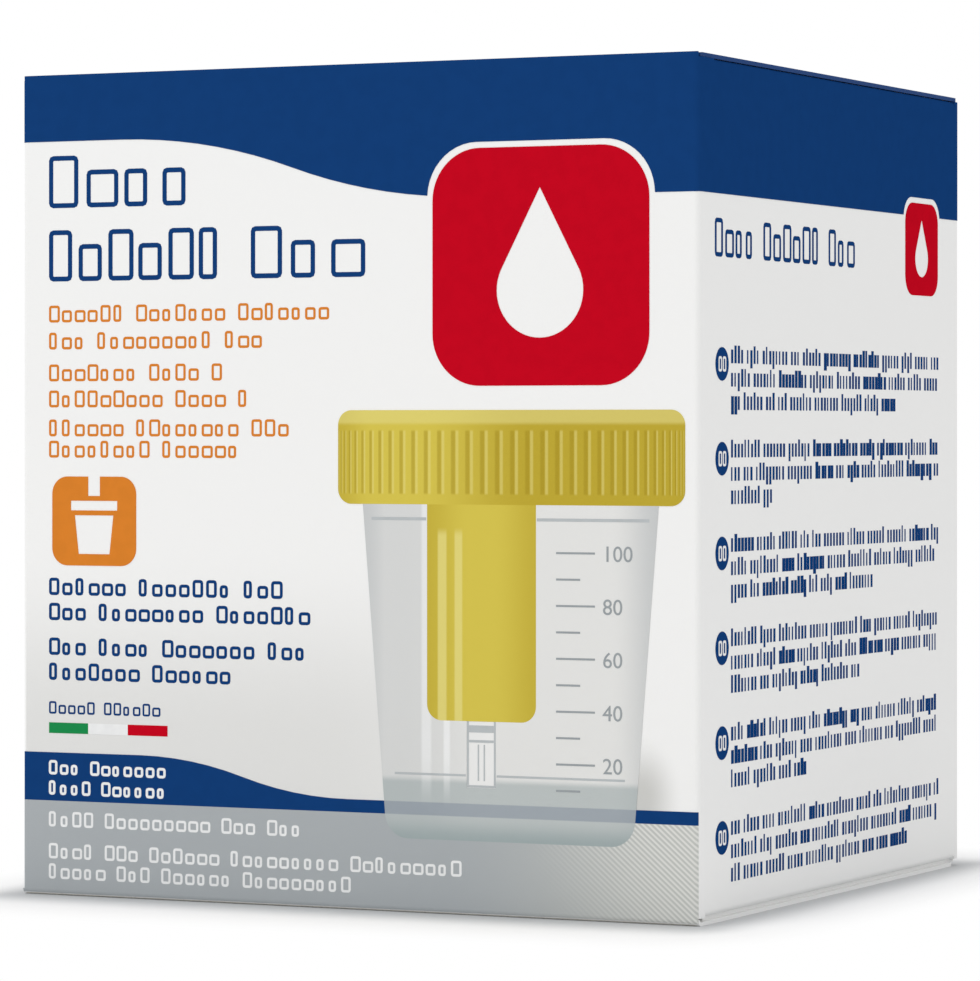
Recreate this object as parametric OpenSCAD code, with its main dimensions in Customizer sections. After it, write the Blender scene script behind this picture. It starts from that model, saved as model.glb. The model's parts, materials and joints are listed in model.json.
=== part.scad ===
// Folding carton with a tuck-in lid, holding a specimen container: a clear tapered cup, a
// ribbed screw cap moulded in one piece with a tube holder, and a suction tip with its needle.
// Frame: origin under the middle of the carton, +Z up, the front panel faces -Y. Millimetres.

/* [Container cup] */
// Outside diameter of the cup at its foot
cup_foot_d = 49.8; // [44:0.2:54]
// Outside diameter of the cup under its shoulder
cup_top_d = 58.4; // [56:0.2:59.6]
// Height of the cup, foot to rim
cup_h = 68; // [60:0.5:90]
// Wall of the cup
cup_wall = 1.1; // [0.8:0.1:1.4]
// Thickness of the cup's base
cup_base_t = 1.2; // [0.8:0.1:2]
// Height of the hollow under the base
cup_foot_recess = 2; // [1:0.25:3]
// Height of the neck above the shoulder
neck_h = 13.6; // [11:0.2:18]
// Radial step from the tapered wall out to the neck
shoulder_step = 1.2; // [0.8:0.1:1.6]
// Volume between two graduation marks, in millilitres
mark_step_ml = 10; // [5:5:20]
// Volume at the highest graduation mark, in millilitres
mark_top_ml = 100; // [60:10:100]
// Height that a graduation mark stands proud
mark_proud = 0.3; // [0.2:0.05:0.5]
// Width of a graduation line
mark_line = 0.5; // [0.4:0.1:0.8]

/* [Screw cap] */
// Radial room between neck and skirt, for the thread
thread_room = 1.4; // [1:0.1:2]
// Wall of the cap's skirt
skirt_wall = 1.6; // [1.2:0.1:2.2]
// Thickness of the cap's top plate
cap_plate_t = 1.6; // [1.2:0.1:2.4]
// Height that the ribs stand out from the skirt
rib_proud = 0.6; // [0.4:0.1:0.9]
// Number of grip ribs
rib_count = 72; // [48:4:84]
// Width of one grip rib
rib_w = 1.3; // [1:0.1:1.6]
// Height of the rim round the label
label_rim_h = 0.6; // [0.4:0.1:1]
// Width of the rim round the label
label_rim_w = 2.6; // [2:0.2:4]
// Rounding of the cap's top edge
cap_edge_r = 1.8; // [1:0.1:2]

/* [Transfer device] */
// Distance of the tube holder's axis from the cap's axis
holder_offset = 5; // [0:0.5:8]
// Outside diameter of the tube holder at the cap
holder_top_d = 21.8; // [20:0.2:24]
// Outside diameter of the tube holder at its floor
holder_foot_d = 20.2; // [19:0.2:21.6]
// Wall of the tube holder
holder_wall = 1.3; // [1:0.1:1.6]
// Thickness of the tube holder's floor
holder_floor_t = 1.6; // [1.2:0.1:2.4]
// Length of the suction tip below the holder
tip_len = 12.7; // [10:0.5:18]
// Gap between the suction tip and the cup's base
tip_gap = 1.8; // [1:0.2:4]
// Diameter of the collar under the holder
tip_collar_d = 7.8; // [7:0.2:9]
// Diameter of the tip's barrel
tip_barrel_d = 5.4; // [5:0.2:6]
// Diameter at the end of the tip
tip_end_d = 3.2; // [2.6:0.2:3.6]
// Bore of the suction tip
tip_bore_d = 1.6; // [1.2:0.1:1.8]
// Outside diameter of the needle
needle_d = 0.9; // [0.7:0.1:1.1]
// Length of the needle above the holder's floor
needle_len = 19; // [14:0.5:24]
// Outside diameter of the rubber sleeve
sleeve_d = 4.6; // [4.2:0.1:5.4]
// Wall of the rubber sleeve
sleeve_wall = 0.7; // [0.5:0.1:0.9]

/* [Labels] */
// Thickness of a label
label_t = 0.12; // [0.08:0.02:0.2]
// Height of the writing label on the cup
writing_label_h = 32; // [20:1:36]
// Height of the writing label's lower edge above the cup's foot
writing_label_z = 12; // [8:0.5:16]
// Angle that the writing label wraps round the cup
writing_label_angle = 150; // [90:5:170]

/* [Carton] */
// Room between cap and side panels
side_room = 3.87; // [1:0.01:8]
// Room between cap and front or back panel
front_room = 2.12; // [1.9:0.01:6]
// Height of the empty space above the container
head_room = 12.73; // [11.5:0.01:30]
// Thickness of the board
board_t = 0.38; // [0.3:0.02:0.5]
// Outside radius of the folds
fold_r = 0.6; // [0.55:0.05:0.9]
// Width of the glue flap inside the back panel
glue_flap_w = 12; // [8:0.5:20]
// Bevel at each end of the glue flap
glue_flap_bevel = 4; // [2:0.5:8]
// Length of each dust flap, from the side panel's outside
dust_flap_len = 27; // [20:0.5:32]
// Distance of a top dust flap from the front panel
dust_shoulder = 3.2; // [3:0.1:6]
// Inward taper of a dust flap's front edge
dust_taper = 4; // [2:0.5:8]
// Corner radius at a dust flap's end
dust_corner_r = 3; // [1:0.5:5]
// Depth of the tuck tab below the lid
tuck_depth = 11.5; // [7:0.5:11.5]
// Angle that the tuck tab leans inwards
tuck_lean = 5; // [5:0.5:7]
// Corner radius of the tuck tab
tuck_corner_r = 6; // [2:0.5:6]
// Length of the lock slit at each end of the tuck fold
slit_len = 5; // [3:0.5:8]

/* [Print] */
// Thickness of the printed film
ink_t = 0.04; // [0.03:0.01:0.06]
// Depth of the blue band at the left of the front panel
band_left = 6.9; // [5:0.1:9]
// Depth of the blue band at the right of the front panel
band_right = 13.6; // [10:0.1:16]
// Radius of the two arcs between those depths
band_curve_r = 60; // [40:5:90]
// Where the band's curve starts, from the left edge
band_curve_x = 12; // [4:0.5:20]
// Height of the grey field at the foot of the front panel
foot_field_h = 9.8; // [8:0.1:12]
// Height of the blue line above the grey field
foot_line_h = 1.3; // [1:0.1:2]
// Height of the blue panel at the left end of that line
foot_panel_h = 5; // [4:0.1:6]
// Side of the red emblem on the front
emblem_side = 23.6; // [18:0.2:26]
// Side of the red emblem on the right-hand panel
small_emblem_side = 10; // [8:0.2:12]
// Width of the white line round an emblem
keyline_w = 0.6; // [0.4:0.1:1]
// Side of the orange pictogram
icon_side = 10; // [8:0.2:12]

/* [Hidden] */
$fn = 96;

// How far a cutting shape reaches past what it cuts
past = 1;

// Clearances between pieces
cap_seat_gap = 0.05;   // cap's plate above the cup's rim
plug_gap = 0.2;        // cap's plug ring inside the rim
skirt_gap = 0.5;       // skirt's lower edge above the shoulder
glue_gap = 0.02;       // label above what it is stuck to
label_edge_gap = 0.5;  // cap label inside its recess
rib_root = 0.2;        // grip rib's root inside the skirt
needle_fit = 0.02;     // needle in the tip's seat
tip_fit = 0.03;        // suction tip in the holder's floor
sleeve_fit = 0.05;     // sleeve over the tip's spigot
flap_gap = 0.06;       // lid above the dust flaps
crease_gap = 0.06;     // lid's rear edge in front of the crease
seam_gap = 0.3;        // back panel's raw edge from the left panel's outside
lid_side_gap = 0.2;    // lid's side edge inside the carton's outside
lid_front_gap = 0.2;   // tuck fold behind the front panel
lid_drop = 0.06;       // lid below the front panel's top edge
back_clear = 1;        // dust flap's rear edge in front of the back panel
slit_gap = 0.12;       // width of a lock slit
ink_foot_gap = 0.25;   // print's lower edge above what the carton stands on

// Carton levels: the bottom flaps lie in three layers, the side panels' on top
floor_layers = 3;
floor_z = floor_layers * board_t;
side_foot_z = floor_z - board_t;

// Cup
cup_z0 = floor_z;
cup_foot_r = cup_foot_d / 2;
cup_top_r = cup_top_d / 2;
shoulder_z = cup_h - neck_h;
neck_r = cup_top_r + shoulder_step;
base_top_z = cup_foot_recess + cup_base_t;
taper = (cup_top_r - cup_foot_r) / shoulder_z;
function cup_outer_r(z) = cup_foot_r + taper * z;
function cup_inner_r(z) = cup_outer_r(z) - cup_wall;
foot_chamfer = 0.8;
mark_place = -60;
mark_long_arc = 17;
mark_short_arc = 11;
fill_steps = 30;
mm3_per_ml = 1000;
rim_round_h = 0.5;

// Screw cap
skirt_in_r = neck_r + thread_room;
skirt_out_r = skirt_in_r + skirt_wall;
cap_r = skirt_out_r + rib_proud;
cap_under_z = cup_h + cap_seat_gap;
cap_plate_z = cap_under_z + cap_plate_t;
cap_top_z = cap_plate_z + label_rim_h;
skirt_foot_z = shoulder_z + skirt_gap;
skirt_bead_h = 1.6;
rib_foot_gap = 0.8;
rib_z0 = skirt_foot_z + skirt_bead_h + rib_foot_gap;
rib_top_margin = 1.4;
plug_wall = 1;
plug_depth = 2.6;
plug_r = neck_r - cup_wall - plug_gap;
recess_r = skirt_out_r - label_rim_w;
container_h = cap_top_z;

// Transfer device, on the holder's own axis
tip_end_z = base_top_z + tip_gap;
holder_foot_z = tip_end_z + tip_len;
holder_floor_z = holder_foot_z + holder_floor_t;
holder_foot_round = 2;
tip_seat_r = 2.2;
tip_flange_r = 3.4;
tip_flange_h = 1.2;
tip_spigot_h = 4;
sleeve_in_r = sleeve_d / 2 - sleeve_wall;
tip_spigot_r = sleeve_in_r - sleeve_fit;
tip_collar_h = 1.6;
tip_barrel_h = 5.4;
tip_end_flare = 0.5;
tip_step_h = 0.6;
tip_neck_h = 1;
tip_collar_chamfer = 0.6;
needle_wall = 0.2;
needle_seat_depth = 5;
needle_bevel = 18;
sleeve_top_gap = 1.2;
sleeve_cap_t = 1;
flange_top_z = holder_floor_z + tip_flange_h;
needle_top_z = holder_floor_z + needle_len;

// Labels
cap_label_r = recess_r - label_edge_gap;

// Carton, sized round the container
carton_w = 2 * (cap_r + side_room + board_t);
carton_d = 2 * (cap_r + front_room + board_t);
lid_top_z = floor_z + container_h + head_room + 2 * board_t + flap_gap;
carton_h = lid_top_z + lid_drop;
half_w = carton_w / 2;
half_d = carton_d / 2;
lid_z = lid_top_z - board_t;
crease_z = lid_top_z - board_t / 2;
crease_y = half_d - board_t / 2;
dust_top_z = lid_z - flap_gap;
dust_z = dust_top_z - board_t;
front_in_y = -half_d + board_t;
lid_front_y = front_in_y + lid_front_gap;
lid_rear_y = half_d - board_t - crease_gap;
lid_half_w = half_w - lid_side_gap;
tuck_side_inset = 0.6;
dust_rear_taper = 1;
top_flap_y = [front_in_y + dust_shoulder, half_d - board_t - back_clear];
bottom_flap_end = 1.4;
bottom_flap_y = [-half_d + bottom_flap_end, half_d - bottom_flap_end];
outer_flap_inset = 0.1;
outer_flap_short = 1.5;
inner_flap_short = 1.5;

// Places on the printed panels, from each panel's lower left corner as seen from outside
emblem_x = 59.4;
emblem_drop = 20.6;
small_emblem_x = 61.3;
small_emblem_drop = 17.2;
emblem_corner_share = 0.22;
icon_x = 8.6;
icon_z = 38.8;
icon_corner_r = 1.8;
foot_curve_r = 40;
foot_curve_x = 14;
dot_r = 1.65;
dot_x = 5.6;
dot_z0 = 8.2;
dot_pitch = 9.3;
dot_count = 6;

// Printed picture of a container on the front panel
pic_x = 56;
pic_foot_z = 7.4;
pic_foot_w = 27;
pic_top_w = 32.4;
pic_cup_corner = 2.6;
pic_cap_w = 38;
pic_cap_h = 9.4;
pic_cap_corner = 1.5;
emblem_gap = 2.4;
pic_top_z = carton_h - emblem_drop - emblem_side / 2 - emblem_gap;
pic_cup_h = pic_top_z - pic_cap_h - pic_foot_z;
pic_holder_x = -3;
pic_holder_w = 12;
pic_holder_corner = 1.6;
pic_tip_w = 3.2;
pic_tip_h = 6.6;
pic_tip_gap = 5.3;
pic_holder_h = pic_cup_h - pic_tip_h - pic_tip_gap;

board_colour = [0.93, 0.93, 0.92];
blue = [0.086, 0.243, 0.459];
red = [0.76, 0.04, 0.12];
grey = [0.62, 0.63, 0.63];
orange = [0.86, 0.5, 0.15];
yellow = [0.93, 0.78, 0.16];
pale = [0.8, 0.82, 0.84];
clear = [0.88, 0.91, 0.94, 0.4];

// Geometry helpers

function unit(v) = v / norm(v);
function corner_half(before, p, after) = acos(unit(before - p) * unit(after - p)) / 2;

// The two ends of the arc that rounds corner p to radius r
function corner_cut(before, p, after, r) =
    let (d = r / tan(corner_half(before, p, after)))
    [p + d * unit(before - p), p + d * unit(after - p)];

// The centre of that arc
function corner_centre(before, p, after, r) =
    p + unit(unit(before - p) + unit(after - p)) * r / sin(corner_half(before, p, after));

// A convex outline whose corners are rounded to the radii given, 0 for a sharp one
module rounded_outline(points, radii) {
    n = len(points);
    polygon([for (i = [0 : n - 1]) each radii[i] > 0
        ? corner_cut(points[(i + n - 1) % n], points[i], points[(i + 1) % n], radii[i])
        : [points[i]]]);
    for (i = [0 : n - 1])
        if (radii[i] > 0)
            translate(corner_centre(points[(i + n - 1) % n], points[i], points[(i + 1) % n], radii[i]))
                circle(r = radii[i]);
}

module rounded_box_outline(w, h, r) {
    rounded_outline([[-w / 2, -h / 2], [w / 2, -h / 2], [w / 2, h / 2], [-w / 2, h / 2]], [r, r, r, r]);
}

// A ring of radii from inner to outer, cut to the quarter that starts at the angle given
module quarter_ring(inner, outer, start) {
    rotate(start) intersection() {
        difference() {
            circle(r = outer);
            circle(r = inner);
        }
        square(outer + past);
    }
}

// The section of a folded board corner
module fold(start) {
    quarter_ring(fold_r - board_t, fold_r, start);
}

// Stands a drawing up along X or Y and centres its length there
module along_x(length) {
    rotate([90, 0, 90]) translate([0, 0, -length / 2]) linear_extrude(length) children();
}

module along_y(length) {
    rotate([90, 0, 0]) translate([0, 0, -length / 2]) linear_extrude(length) children();
}

// Puts a flat drawing on the outside of a panel, its origin at the panel's lower left corner
module on_front(depth) {
    translate([-half_w, -half_d, 0]) rotate([90, 0, 0]) linear_extrude(depth) children();
}

module on_right(depth) {
    translate([half_w, -half_d, 0]) rotate([90, 0, 90]) linear_extrude(depth) children();
}

// Carton

// Plan of the four standing panels and their upright folds
module wall_plan() {
    translate([-half_w + fold_r, -half_d]) square([carton_w - 2 * fold_r, board_t]);
    translate([half_w - fold_r, -half_d + fold_r]) fold(270);
    translate([half_w - board_t, -half_d + fold_r]) square([board_t, carton_d - 2 * fold_r]);
    translate([half_w - fold_r, half_d - fold_r]) fold(0);
    translate([-half_w + seam_gap, half_d - board_t])
        square([carton_w - seam_gap - fold_r, board_t]);
    translate([-half_w, -half_d + fold_r]) square([board_t, carton_d - board_t - 2 * fold_r]);
    translate([-half_w + fold_r, -half_d + fold_r]) fold(180);
    translate([-half_w + fold_r, half_d - board_t - fold_r]) fold(90);
}

// Plan of what belongs to the front panel, out to the middle of its upright folds
module front_zone() {
    x = half_w - fold_r;
    y = -half_d + fold_r;
    reach = fold_r + past;
    polygon([[-x, y], [-x - reach, y - reach], [x + reach, y - reach], [x, y]]);
}

module back_zone() {
    translate([-half_w, half_d - board_t]) square([carton_w - fold_r, board_t + past]);
}

// Plan of the side panels' stretches that fold over into flaps
module flap_zone(y_range) {
    for (side = [-1, 1]) translate([side * half_w - past, y_range[0]])
        square([2 * past, y_range[1] - y_range[0]]);
}

module slab(z0, z1) {
    translate([0, 0, z0]) linear_extrude(z1 - z0) children();
}

// Raises a wall plan, each panel from its own bottom fold to its own top edge or fold
module standing() {
    foot_z = side_foot_z + fold_r;
    slab(foot_z, dust_top_z - fold_r) children();
    slab(side_foot_z, foot_z) difference() {
        children();
        flap_zone(bottom_flap_y);
        front_zone();
        back_zone();
    }
    slab(dust_top_z - fold_r, dust_top_z) difference() {
        children();
        flap_zone(top_flap_y);
    }
    for (levels = [[fold_r, foot_z], [dust_top_z, carton_h]])
        slab(levels[0], levels[1]) intersection() {
            children();
            front_zone();
        }
    for (levels = [[board_t + fold_r, foot_z], [dust_top_z, crease_z]])
        slab(levels[0], levels[1]) intersection() {
            children();
            back_zone();
        }
}

// The flap glued inside the back panel, its ends bevelled
module glue_flap() {
    z0 = side_foot_z;
    z1 = dust_top_z;
    translate([-half_w + fold_r, half_d - board_t, 0]) rotate([90, 0, 0]) linear_extrude(board_t)
        polygon([[0, z0], [fold_r, z0], [glue_flap_w, z0 + glue_flap_bevel],
            [glue_flap_w, z1 - glue_flap_bevel], [fold_r, z1], [0, z1]]);
}

// The round edge along the back panel's top, where the lid is creased
module crease_bead() {
    translate([(seam_gap - fold_r) / 2, 0, 0]) along_x(carton_w - seam_gap - fold_r)
        translate([crease_y, crease_z]) circle(d = board_t);
}

// Sets a fold's section at a level on the right-hand panel, between two places along it
module right_fold(y_range, z) {
    translate([0, (y_range[0] + y_range[1]) / 2, 0]) along_y(y_range[1] - y_range[0])
        translate([half_w - fold_r, z]) children();
}

// One top dust flap with its fold, on the right-hand panel
module top_dust_flap() {
    y0 = top_flap_y[0];
    y1 = top_flap_y[1];
    tip_x = half_w - dust_flap_len;
    root_x = half_w - fold_r;
    right_fold(top_flap_y, dust_top_z - fold_r) fold(0);
    translate([0, 0, dust_z]) linear_extrude(board_t)
        rounded_outline([[root_x, y0], [root_x, y1], [tip_x, y1 - dust_rear_taper], [tip_x, y0 + dust_taper]],
            [0, 0, dust_corner_r, dust_corner_r]);
}

// One bottom dust flap with its fold, on the right-hand panel, in the uppermost layer
module bottom_dust_flap() {
    right_fold(bottom_flap_y, side_foot_z + fold_r) fold(270);
    translate([half_w - dust_flap_len, bottom_flap_y[0], side_foot_z])
        cube([dust_flap_len - fold_r, bottom_flap_y[1] - bottom_flap_y[0], board_t]);
}

// The glued bottom: the back panel's flap inside, the front panel's flap outside
module bottom_flaps() {
    outer_span = carton_w - 2 * outer_flap_inset;
    inner_span = carton_w - 2 * fold_r;
    outer_len = carton_d - 2 * fold_r - outer_flap_short;
    inner_len = carton_d - 2 * fold_r - inner_flap_short;
    along_x(outer_span) translate([-half_d + fold_r, fold_r]) fold(180);
    translate([-outer_span / 2, -half_d + fold_r, 0]) cube([outer_span, outer_len, board_t]);
    along_x(inner_span) translate([half_d - fold_r, board_t + fold_r]) fold(270);
    translate([-inner_span / 2, half_d - fold_r - inner_len, board_t])
        cube([inner_span, inner_len, board_t]);
}

module carton() {
    color(board_colour) {
        standing() wall_plan();
        glue_flap();
        crease_bead();
        bottom_flaps();
        for (side = [0, 1]) mirror([side, 0, 0]) {
            top_dust_flap();
            bottom_dust_flap();
        }
    }
}

// Outline of the tuck tab, hanging from its fold line
module tuck_outline() {
    half = lid_half_w - tuck_side_inset;
    rounded_outline([[-half, -tuck_depth], [half, -tuck_depth], [half, 0], [-half, 0]],
        [tuck_corner_r, tuck_corner_r, 0, 0]);
}

module carton_lid() {
    arc_y = lid_front_y + fold_r;
    arc_z = lid_top_z - fold_r;
    fold_half = lid_half_w - slit_len;
    color(board_colour) {
        // The panel, with square ends beside the fold where the lock slits free them
        translate([-lid_half_w, arc_y, lid_z]) cube([2 * lid_half_w, lid_rear_y - arc_y, board_t]);
        for (side = [0, 1]) mirror([side, 0, 0])
            translate([fold_half, lid_front_y + slit_gap, lid_z])
                cube([slit_len, arc_y - lid_front_y, board_t]);
        // The fold, bent past a right angle by the tab's lean
        along_x(2 * fold_half) translate([arc_y, arc_z]) fold(90);
        along_x(2 * fold_half) translate([arc_y, arc_z]) intersection() {
            rotate(tuck_lean) fold(90);
            translate([-2 * fold_r, -2 * fold_r]) square([2 * fold_r, 2 * fold_r]);
        }
        // The tab
        translate([0, arc_y, arc_z]) rotate([tuck_lean, 0, 0]) translate([0, -fold_r, 0])
            rotate([90, 0, 0]) translate([0, 0, -board_t]) linear_extrude(board_t) tuck_outline();
    }
}

// Printed film

// Plan of the film round the carton, outside the board
module film_plan() {
    translate([-half_w + fold_r, -half_d - ink_t]) square([carton_w - 2 * fold_r, ink_t]);
    translate([half_w - fold_r, -half_d + fold_r]) quarter_ring(fold_r, fold_r + ink_t, 270);
    translate([half_w, -half_d + fold_r]) square([ink_t, carton_d - 2 * fold_r]);
    translate([half_w - fold_r, half_d - fold_r]) quarter_ring(fold_r, fold_r + ink_t, 0);
    translate([-half_w + seam_gap, half_d]) square([carton_w - seam_gap - fold_r, ink_t]);
    translate([-half_w - ink_t, -half_d + fold_r])
        square([ink_t, carton_d - board_t - 2 * fold_r]);
    translate([-half_w + fold_r, -half_d + fold_r]) quarter_ring(fold_r, fold_r + ink_t, 180);
}

// The whole film: round the walls, over the side folds and down round the front's bottom fold
module film() {
    standing() film_plan();
    for (side = [0, 1]) mirror([side, 0, 0])
        right_fold(top_flap_y, dust_top_z - fold_r) quarter_ring(fold_r, fold_r + ink_t, 0);
    along_x(carton_w - 2 * outer_flap_inset) intersection() {
        translate([-half_d + fold_r, fold_r]) quarter_ring(fold_r, fold_r + ink_t, 180);
        translate([-half_d - past, ink_foot_gap]) square([fold_r + past, fold_r]);
    }
}

// The front panel's part of the film
module front_film() {
    intersection() {
        film();
        slab(-past, carton_h + past) front_zone();
    }
}

// Everything below a line that falls from one height to another in two equal arcs
module below_s_curve(x0, y0, y1, r) {
    half_fall = (y0 - y1) / 2;
    half_run = sqrt(2 * r * half_fall - half_fall * half_fall);
    mid_x = x0 + half_run;
    mid_y = y1 + half_fall;
    end_x = mid_x + half_run;
    translate([-past, -past]) square([x0 + past, y0 + past]);
    translate([x0, -past]) square([half_run, mid_y + past]);
    intersection() {
        translate([x0, y0 - r]) circle(r = r, $fn = 180);
        translate([x0, mid_y]) square([half_run, half_fall + past]);
    }
    difference() {
        translate([mid_x, -past]) square([half_run, mid_y + past]);
        translate([end_x, y1 + r]) circle(r = r, $fn = 180);
    }
    translate([end_x, -past]) square([carton_w + past - end_x, y1 + past]);
}

// The blue band's outline, drawn across the front panel
module band_outline() {
    difference() {
        translate([-past / 2, carton_h - band_right - past / 2])
            square([carton_w + past, band_right + past]);
        below_s_curve(band_curve_x, carton_h - band_left, carton_h - band_right, band_curve_r);
    }
}

// The blue line above the grey field, deeper at its left end
module foot_line_outline() {
    difference() {
        below_s_curve(foot_curve_x, foot_field_h + foot_panel_h, foot_field_h + foot_line_h, foot_curve_r);
        translate([-2 * past, -2 * past]) square([carton_w + 4 * past, foot_field_h + 2 * past]);
    }
}

module emblem_outline(side) {
    rounded_box_outline(side, side, emblem_corner_share * side);
}

// A drop, left unprinted in the middle of an emblem
module drop_outline(side) {
    r = 0.2 * side;
    apex = 0.33 * side;
    drop_z = -0.1 * side;
    touch = asin(r / (apex - drop_z));
    side_r = 0.998 * r;
    translate([0, drop_z]) circle(r = r);
    translate([0, drop_z]) polygon([[0, apex - drop_z], [-side_r * cos(touch), side_r * sin(touch)],
        [side_r * cos(touch), side_r * sin(touch)]]);
}

module front_emblem_place() {
    translate([emblem_x, carton_h - emblem_drop]) children();
}

module side_emblem_place() {
    translate([small_emblem_x, carton_h - small_emblem_drop]) children();
}

// The picture's cup, as one outline
module pic_cup_outline() {
    translate([pic_x, pic_foot_z]) rounded_outline(
        [[-pic_foot_w / 2, 0], [pic_foot_w / 2, 0], [pic_top_w / 2, pic_cup_h], [-pic_top_w / 2, pic_cup_h]],
        [pic_cup_corner, pic_cup_corner, 0, 0]);
}

module pic_cap_outline() {
    translate([pic_x, pic_foot_z + pic_cup_h + pic_cap_h / 2])
        rounded_box_outline(pic_cap_w, pic_cap_h, pic_cap_corner);
}

module pic_holder_outline() {
    translate([pic_x + pic_holder_x, pic_foot_z + pic_cup_h - pic_holder_h]) rounded_outline(
        [[-pic_holder_w / 2, 0], [pic_holder_w / 2, 0], [pic_holder_w / 2, pic_holder_h],
            [-pic_holder_w / 2, pic_holder_h]],
        [pic_holder_corner, pic_holder_corner, 0, 0]);
}

module pic_tip_outline() {
    translate([pic_x + pic_holder_x - pic_tip_w / 2, pic_foot_z + pic_cup_h - pic_holder_h - pic_tip_h])
        square([pic_tip_w, pic_tip_h]);
}

module pic_outline() {
    pic_cup_outline();
    pic_cap_outline();
}

module side_dots() {
    for (i = [0 : dot_count - 1]) translate([dot_x, dot_z0 + i * dot_pitch]) circle(r = dot_r);
}

module print_blue() {
    color(blue) {
        difference() {
            intersection() {
                film();
                translate([-half_w, half_d + past, 0]) rotate([90, 0, 0])
                    linear_extrude(carton_d + 2 * past) band_outline();
            }
            translate([0, past, 0]) on_front(2 * past)
                front_emblem_place() emblem_outline(emblem_side + 2 * keyline_w);
            translate([-past, 0, 0]) on_right(2 * past)
                side_emblem_place() emblem_outline(small_emblem_side + 2 * keyline_w);
        }
        intersection() {
            front_film();
            translate([0, 2 * past, 0]) on_front(3 * past) difference() {
                foot_line_outline();
                pic_outline();
            }
        }
        on_right(ink_t) side_dots();
    }
}

module print_red() {
    color(red) {
        on_front(ink_t) front_emblem_place() difference() {
            emblem_outline(emblem_side);
            drop_outline(emblem_side);
        }
        on_right(ink_t) side_emblem_place() difference() {
            emblem_outline(small_emblem_side);
            drop_outline(small_emblem_side);
        }
    }
}

module print_grey() {
    color(grey) intersection() {
        front_film();
        translate([0, 2 * past, 0]) on_front(3 * past) difference() {
            translate([-past, -past]) square([carton_w + 2 * past, foot_field_h + past]);
            pic_outline();
        }
    }
}

// A small cup with its cap, left unprinted in the pictogram
module icon_mark() {
    w = 0.46 * icon_side;
    h = 0.4 * icon_side;
    translate([0, -0.34 * icon_side])
        polygon([[-0.4 * w, 0], [0.4 * w, 0], [0.5 * w, h], [-0.5 * w, h]]);
    translate([-0.6 * w, -0.34 * icon_side + h + 0.05 * icon_side]) square([1.2 * w, 0.1 * icon_side]);
    translate([-0.07 * icon_side, -0.34 * icon_side + h + 0.2 * icon_side])
        square([0.14 * icon_side, 0.2 * icon_side]);
}

module print_orange() {
    color(orange) on_front(ink_t) translate([icon_x, icon_z]) difference() {
        rounded_box_outline(icon_side, icon_side * 0.92, icon_corner_r);
        icon_mark();
    }
}

module print_yellow() {
    color(yellow) on_front(ink_t) {
        pic_cap_outline();
        pic_holder_outline();
    }
}

module print_clear() {
    color(pale) on_front(ink_t) difference() {
        pic_cup_outline();
        pic_cap_outline();
        pic_holder_outline();
        pic_tip_outline();
    }
}

module lid_print() {
    arc_y = lid_front_y + fold_r;
    color(blue) translate([-lid_half_w, arc_y, lid_top_z])
        cube([2 * lid_half_w, lid_rear_y - arc_y, ink_t]);
}

// Container

// Half section of the cup: foot ring, raised base, tapered wall, shoulder and neck
module cup_section() {
    neck_in_r = neck_r - cup_wall;
    polygon([
        [0, cup_foot_recess],
        [cup_inner_r(0) - foot_chamfer, cup_foot_recess],
        [cup_inner_r(0), 0],
        [cup_foot_r - foot_chamfer / 2, 0],
        [cup_outer_r(foot_chamfer), foot_chamfer],
        [cup_top_r, shoulder_z],
        [neck_r, shoulder_z],
        [neck_r, cup_h - rim_round_h],
        [neck_r - rim_round_h, cup_h],
        [neck_in_r, cup_h],
        [neck_in_r, shoulder_z + cup_wall],
        [cup_inner_r(shoulder_z), shoulder_z + cup_wall - shoulder_step],
        [cup_inner_r(base_top_z), base_top_z],
        [0, base_top_z],
    ]);
}

// Height inside the cup at which it holds a volume, found by halving the range
function cone_ml(h) =
    let (a = cup_inner_r(base_top_z), b = cup_inner_r(base_top_z + h))
    PI * h * (a * a + a * b + b * b) / (3 * mm3_per_ml);
function fill_h(ml, low = 0, high = cup_h, steps = fill_steps) =
    steps == 0 ? (low + high) / 2
    : let (mid = (low + high) / 2)
        cone_ml(mid) < ml ? fill_h(ml, mid, high, steps - 1) : fill_h(ml, low, mid, steps - 1);

// One raised graduation line, an arc on the tapered wall
module cup_mark(z, arc) {
    rotate([0, 0, mark_place - arc / 2]) rotate_extrude(angle = arc) polygon([
        [cup_inner_r(z) + cup_wall / 2, z - mark_line / 2],
        [cup_outer_r(z) + mark_proud, z - mark_line / 2],
        [cup_outer_r(z) + mark_proud, z + mark_line / 2],
        [cup_inner_r(z) + cup_wall / 2, z + mark_line / 2],
    ]);
}

module cup_marks() {
    count = floor(mark_top_ml / mark_step_ml);
    for (i = [1 : count]) {
        z = base_top_z + fill_h(i * mark_step_ml);
        if (z < shoulder_z - mark_line) cup_mark(z, i % 2 == 0 ? mark_long_arc : mark_short_arc);
    }
}

module cup() {
    color(clear) translate([0, 0, cup_z0]) {
        rotate_extrude() cup_section();
        cup_marks();
    }
}

module writing_label() {
    z0 = writing_label_z;
    z1 = writing_label_z + writing_label_h;
    color("white") translate([0, 0, cup_z0]) rotate([0, 0, 90 - writing_label_angle / 2])
        rotate_extrude(angle = writing_label_angle) polygon([
            [cup_outer_r(z0) + glue_gap, z0],
            [cup_outer_r(z0) + glue_gap + label_t, z0],
            [cup_outer_r(z1) + glue_gap + label_t, z1],
            [cup_outer_r(z1) + glue_gap, z1],
        ]);
}

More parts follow.
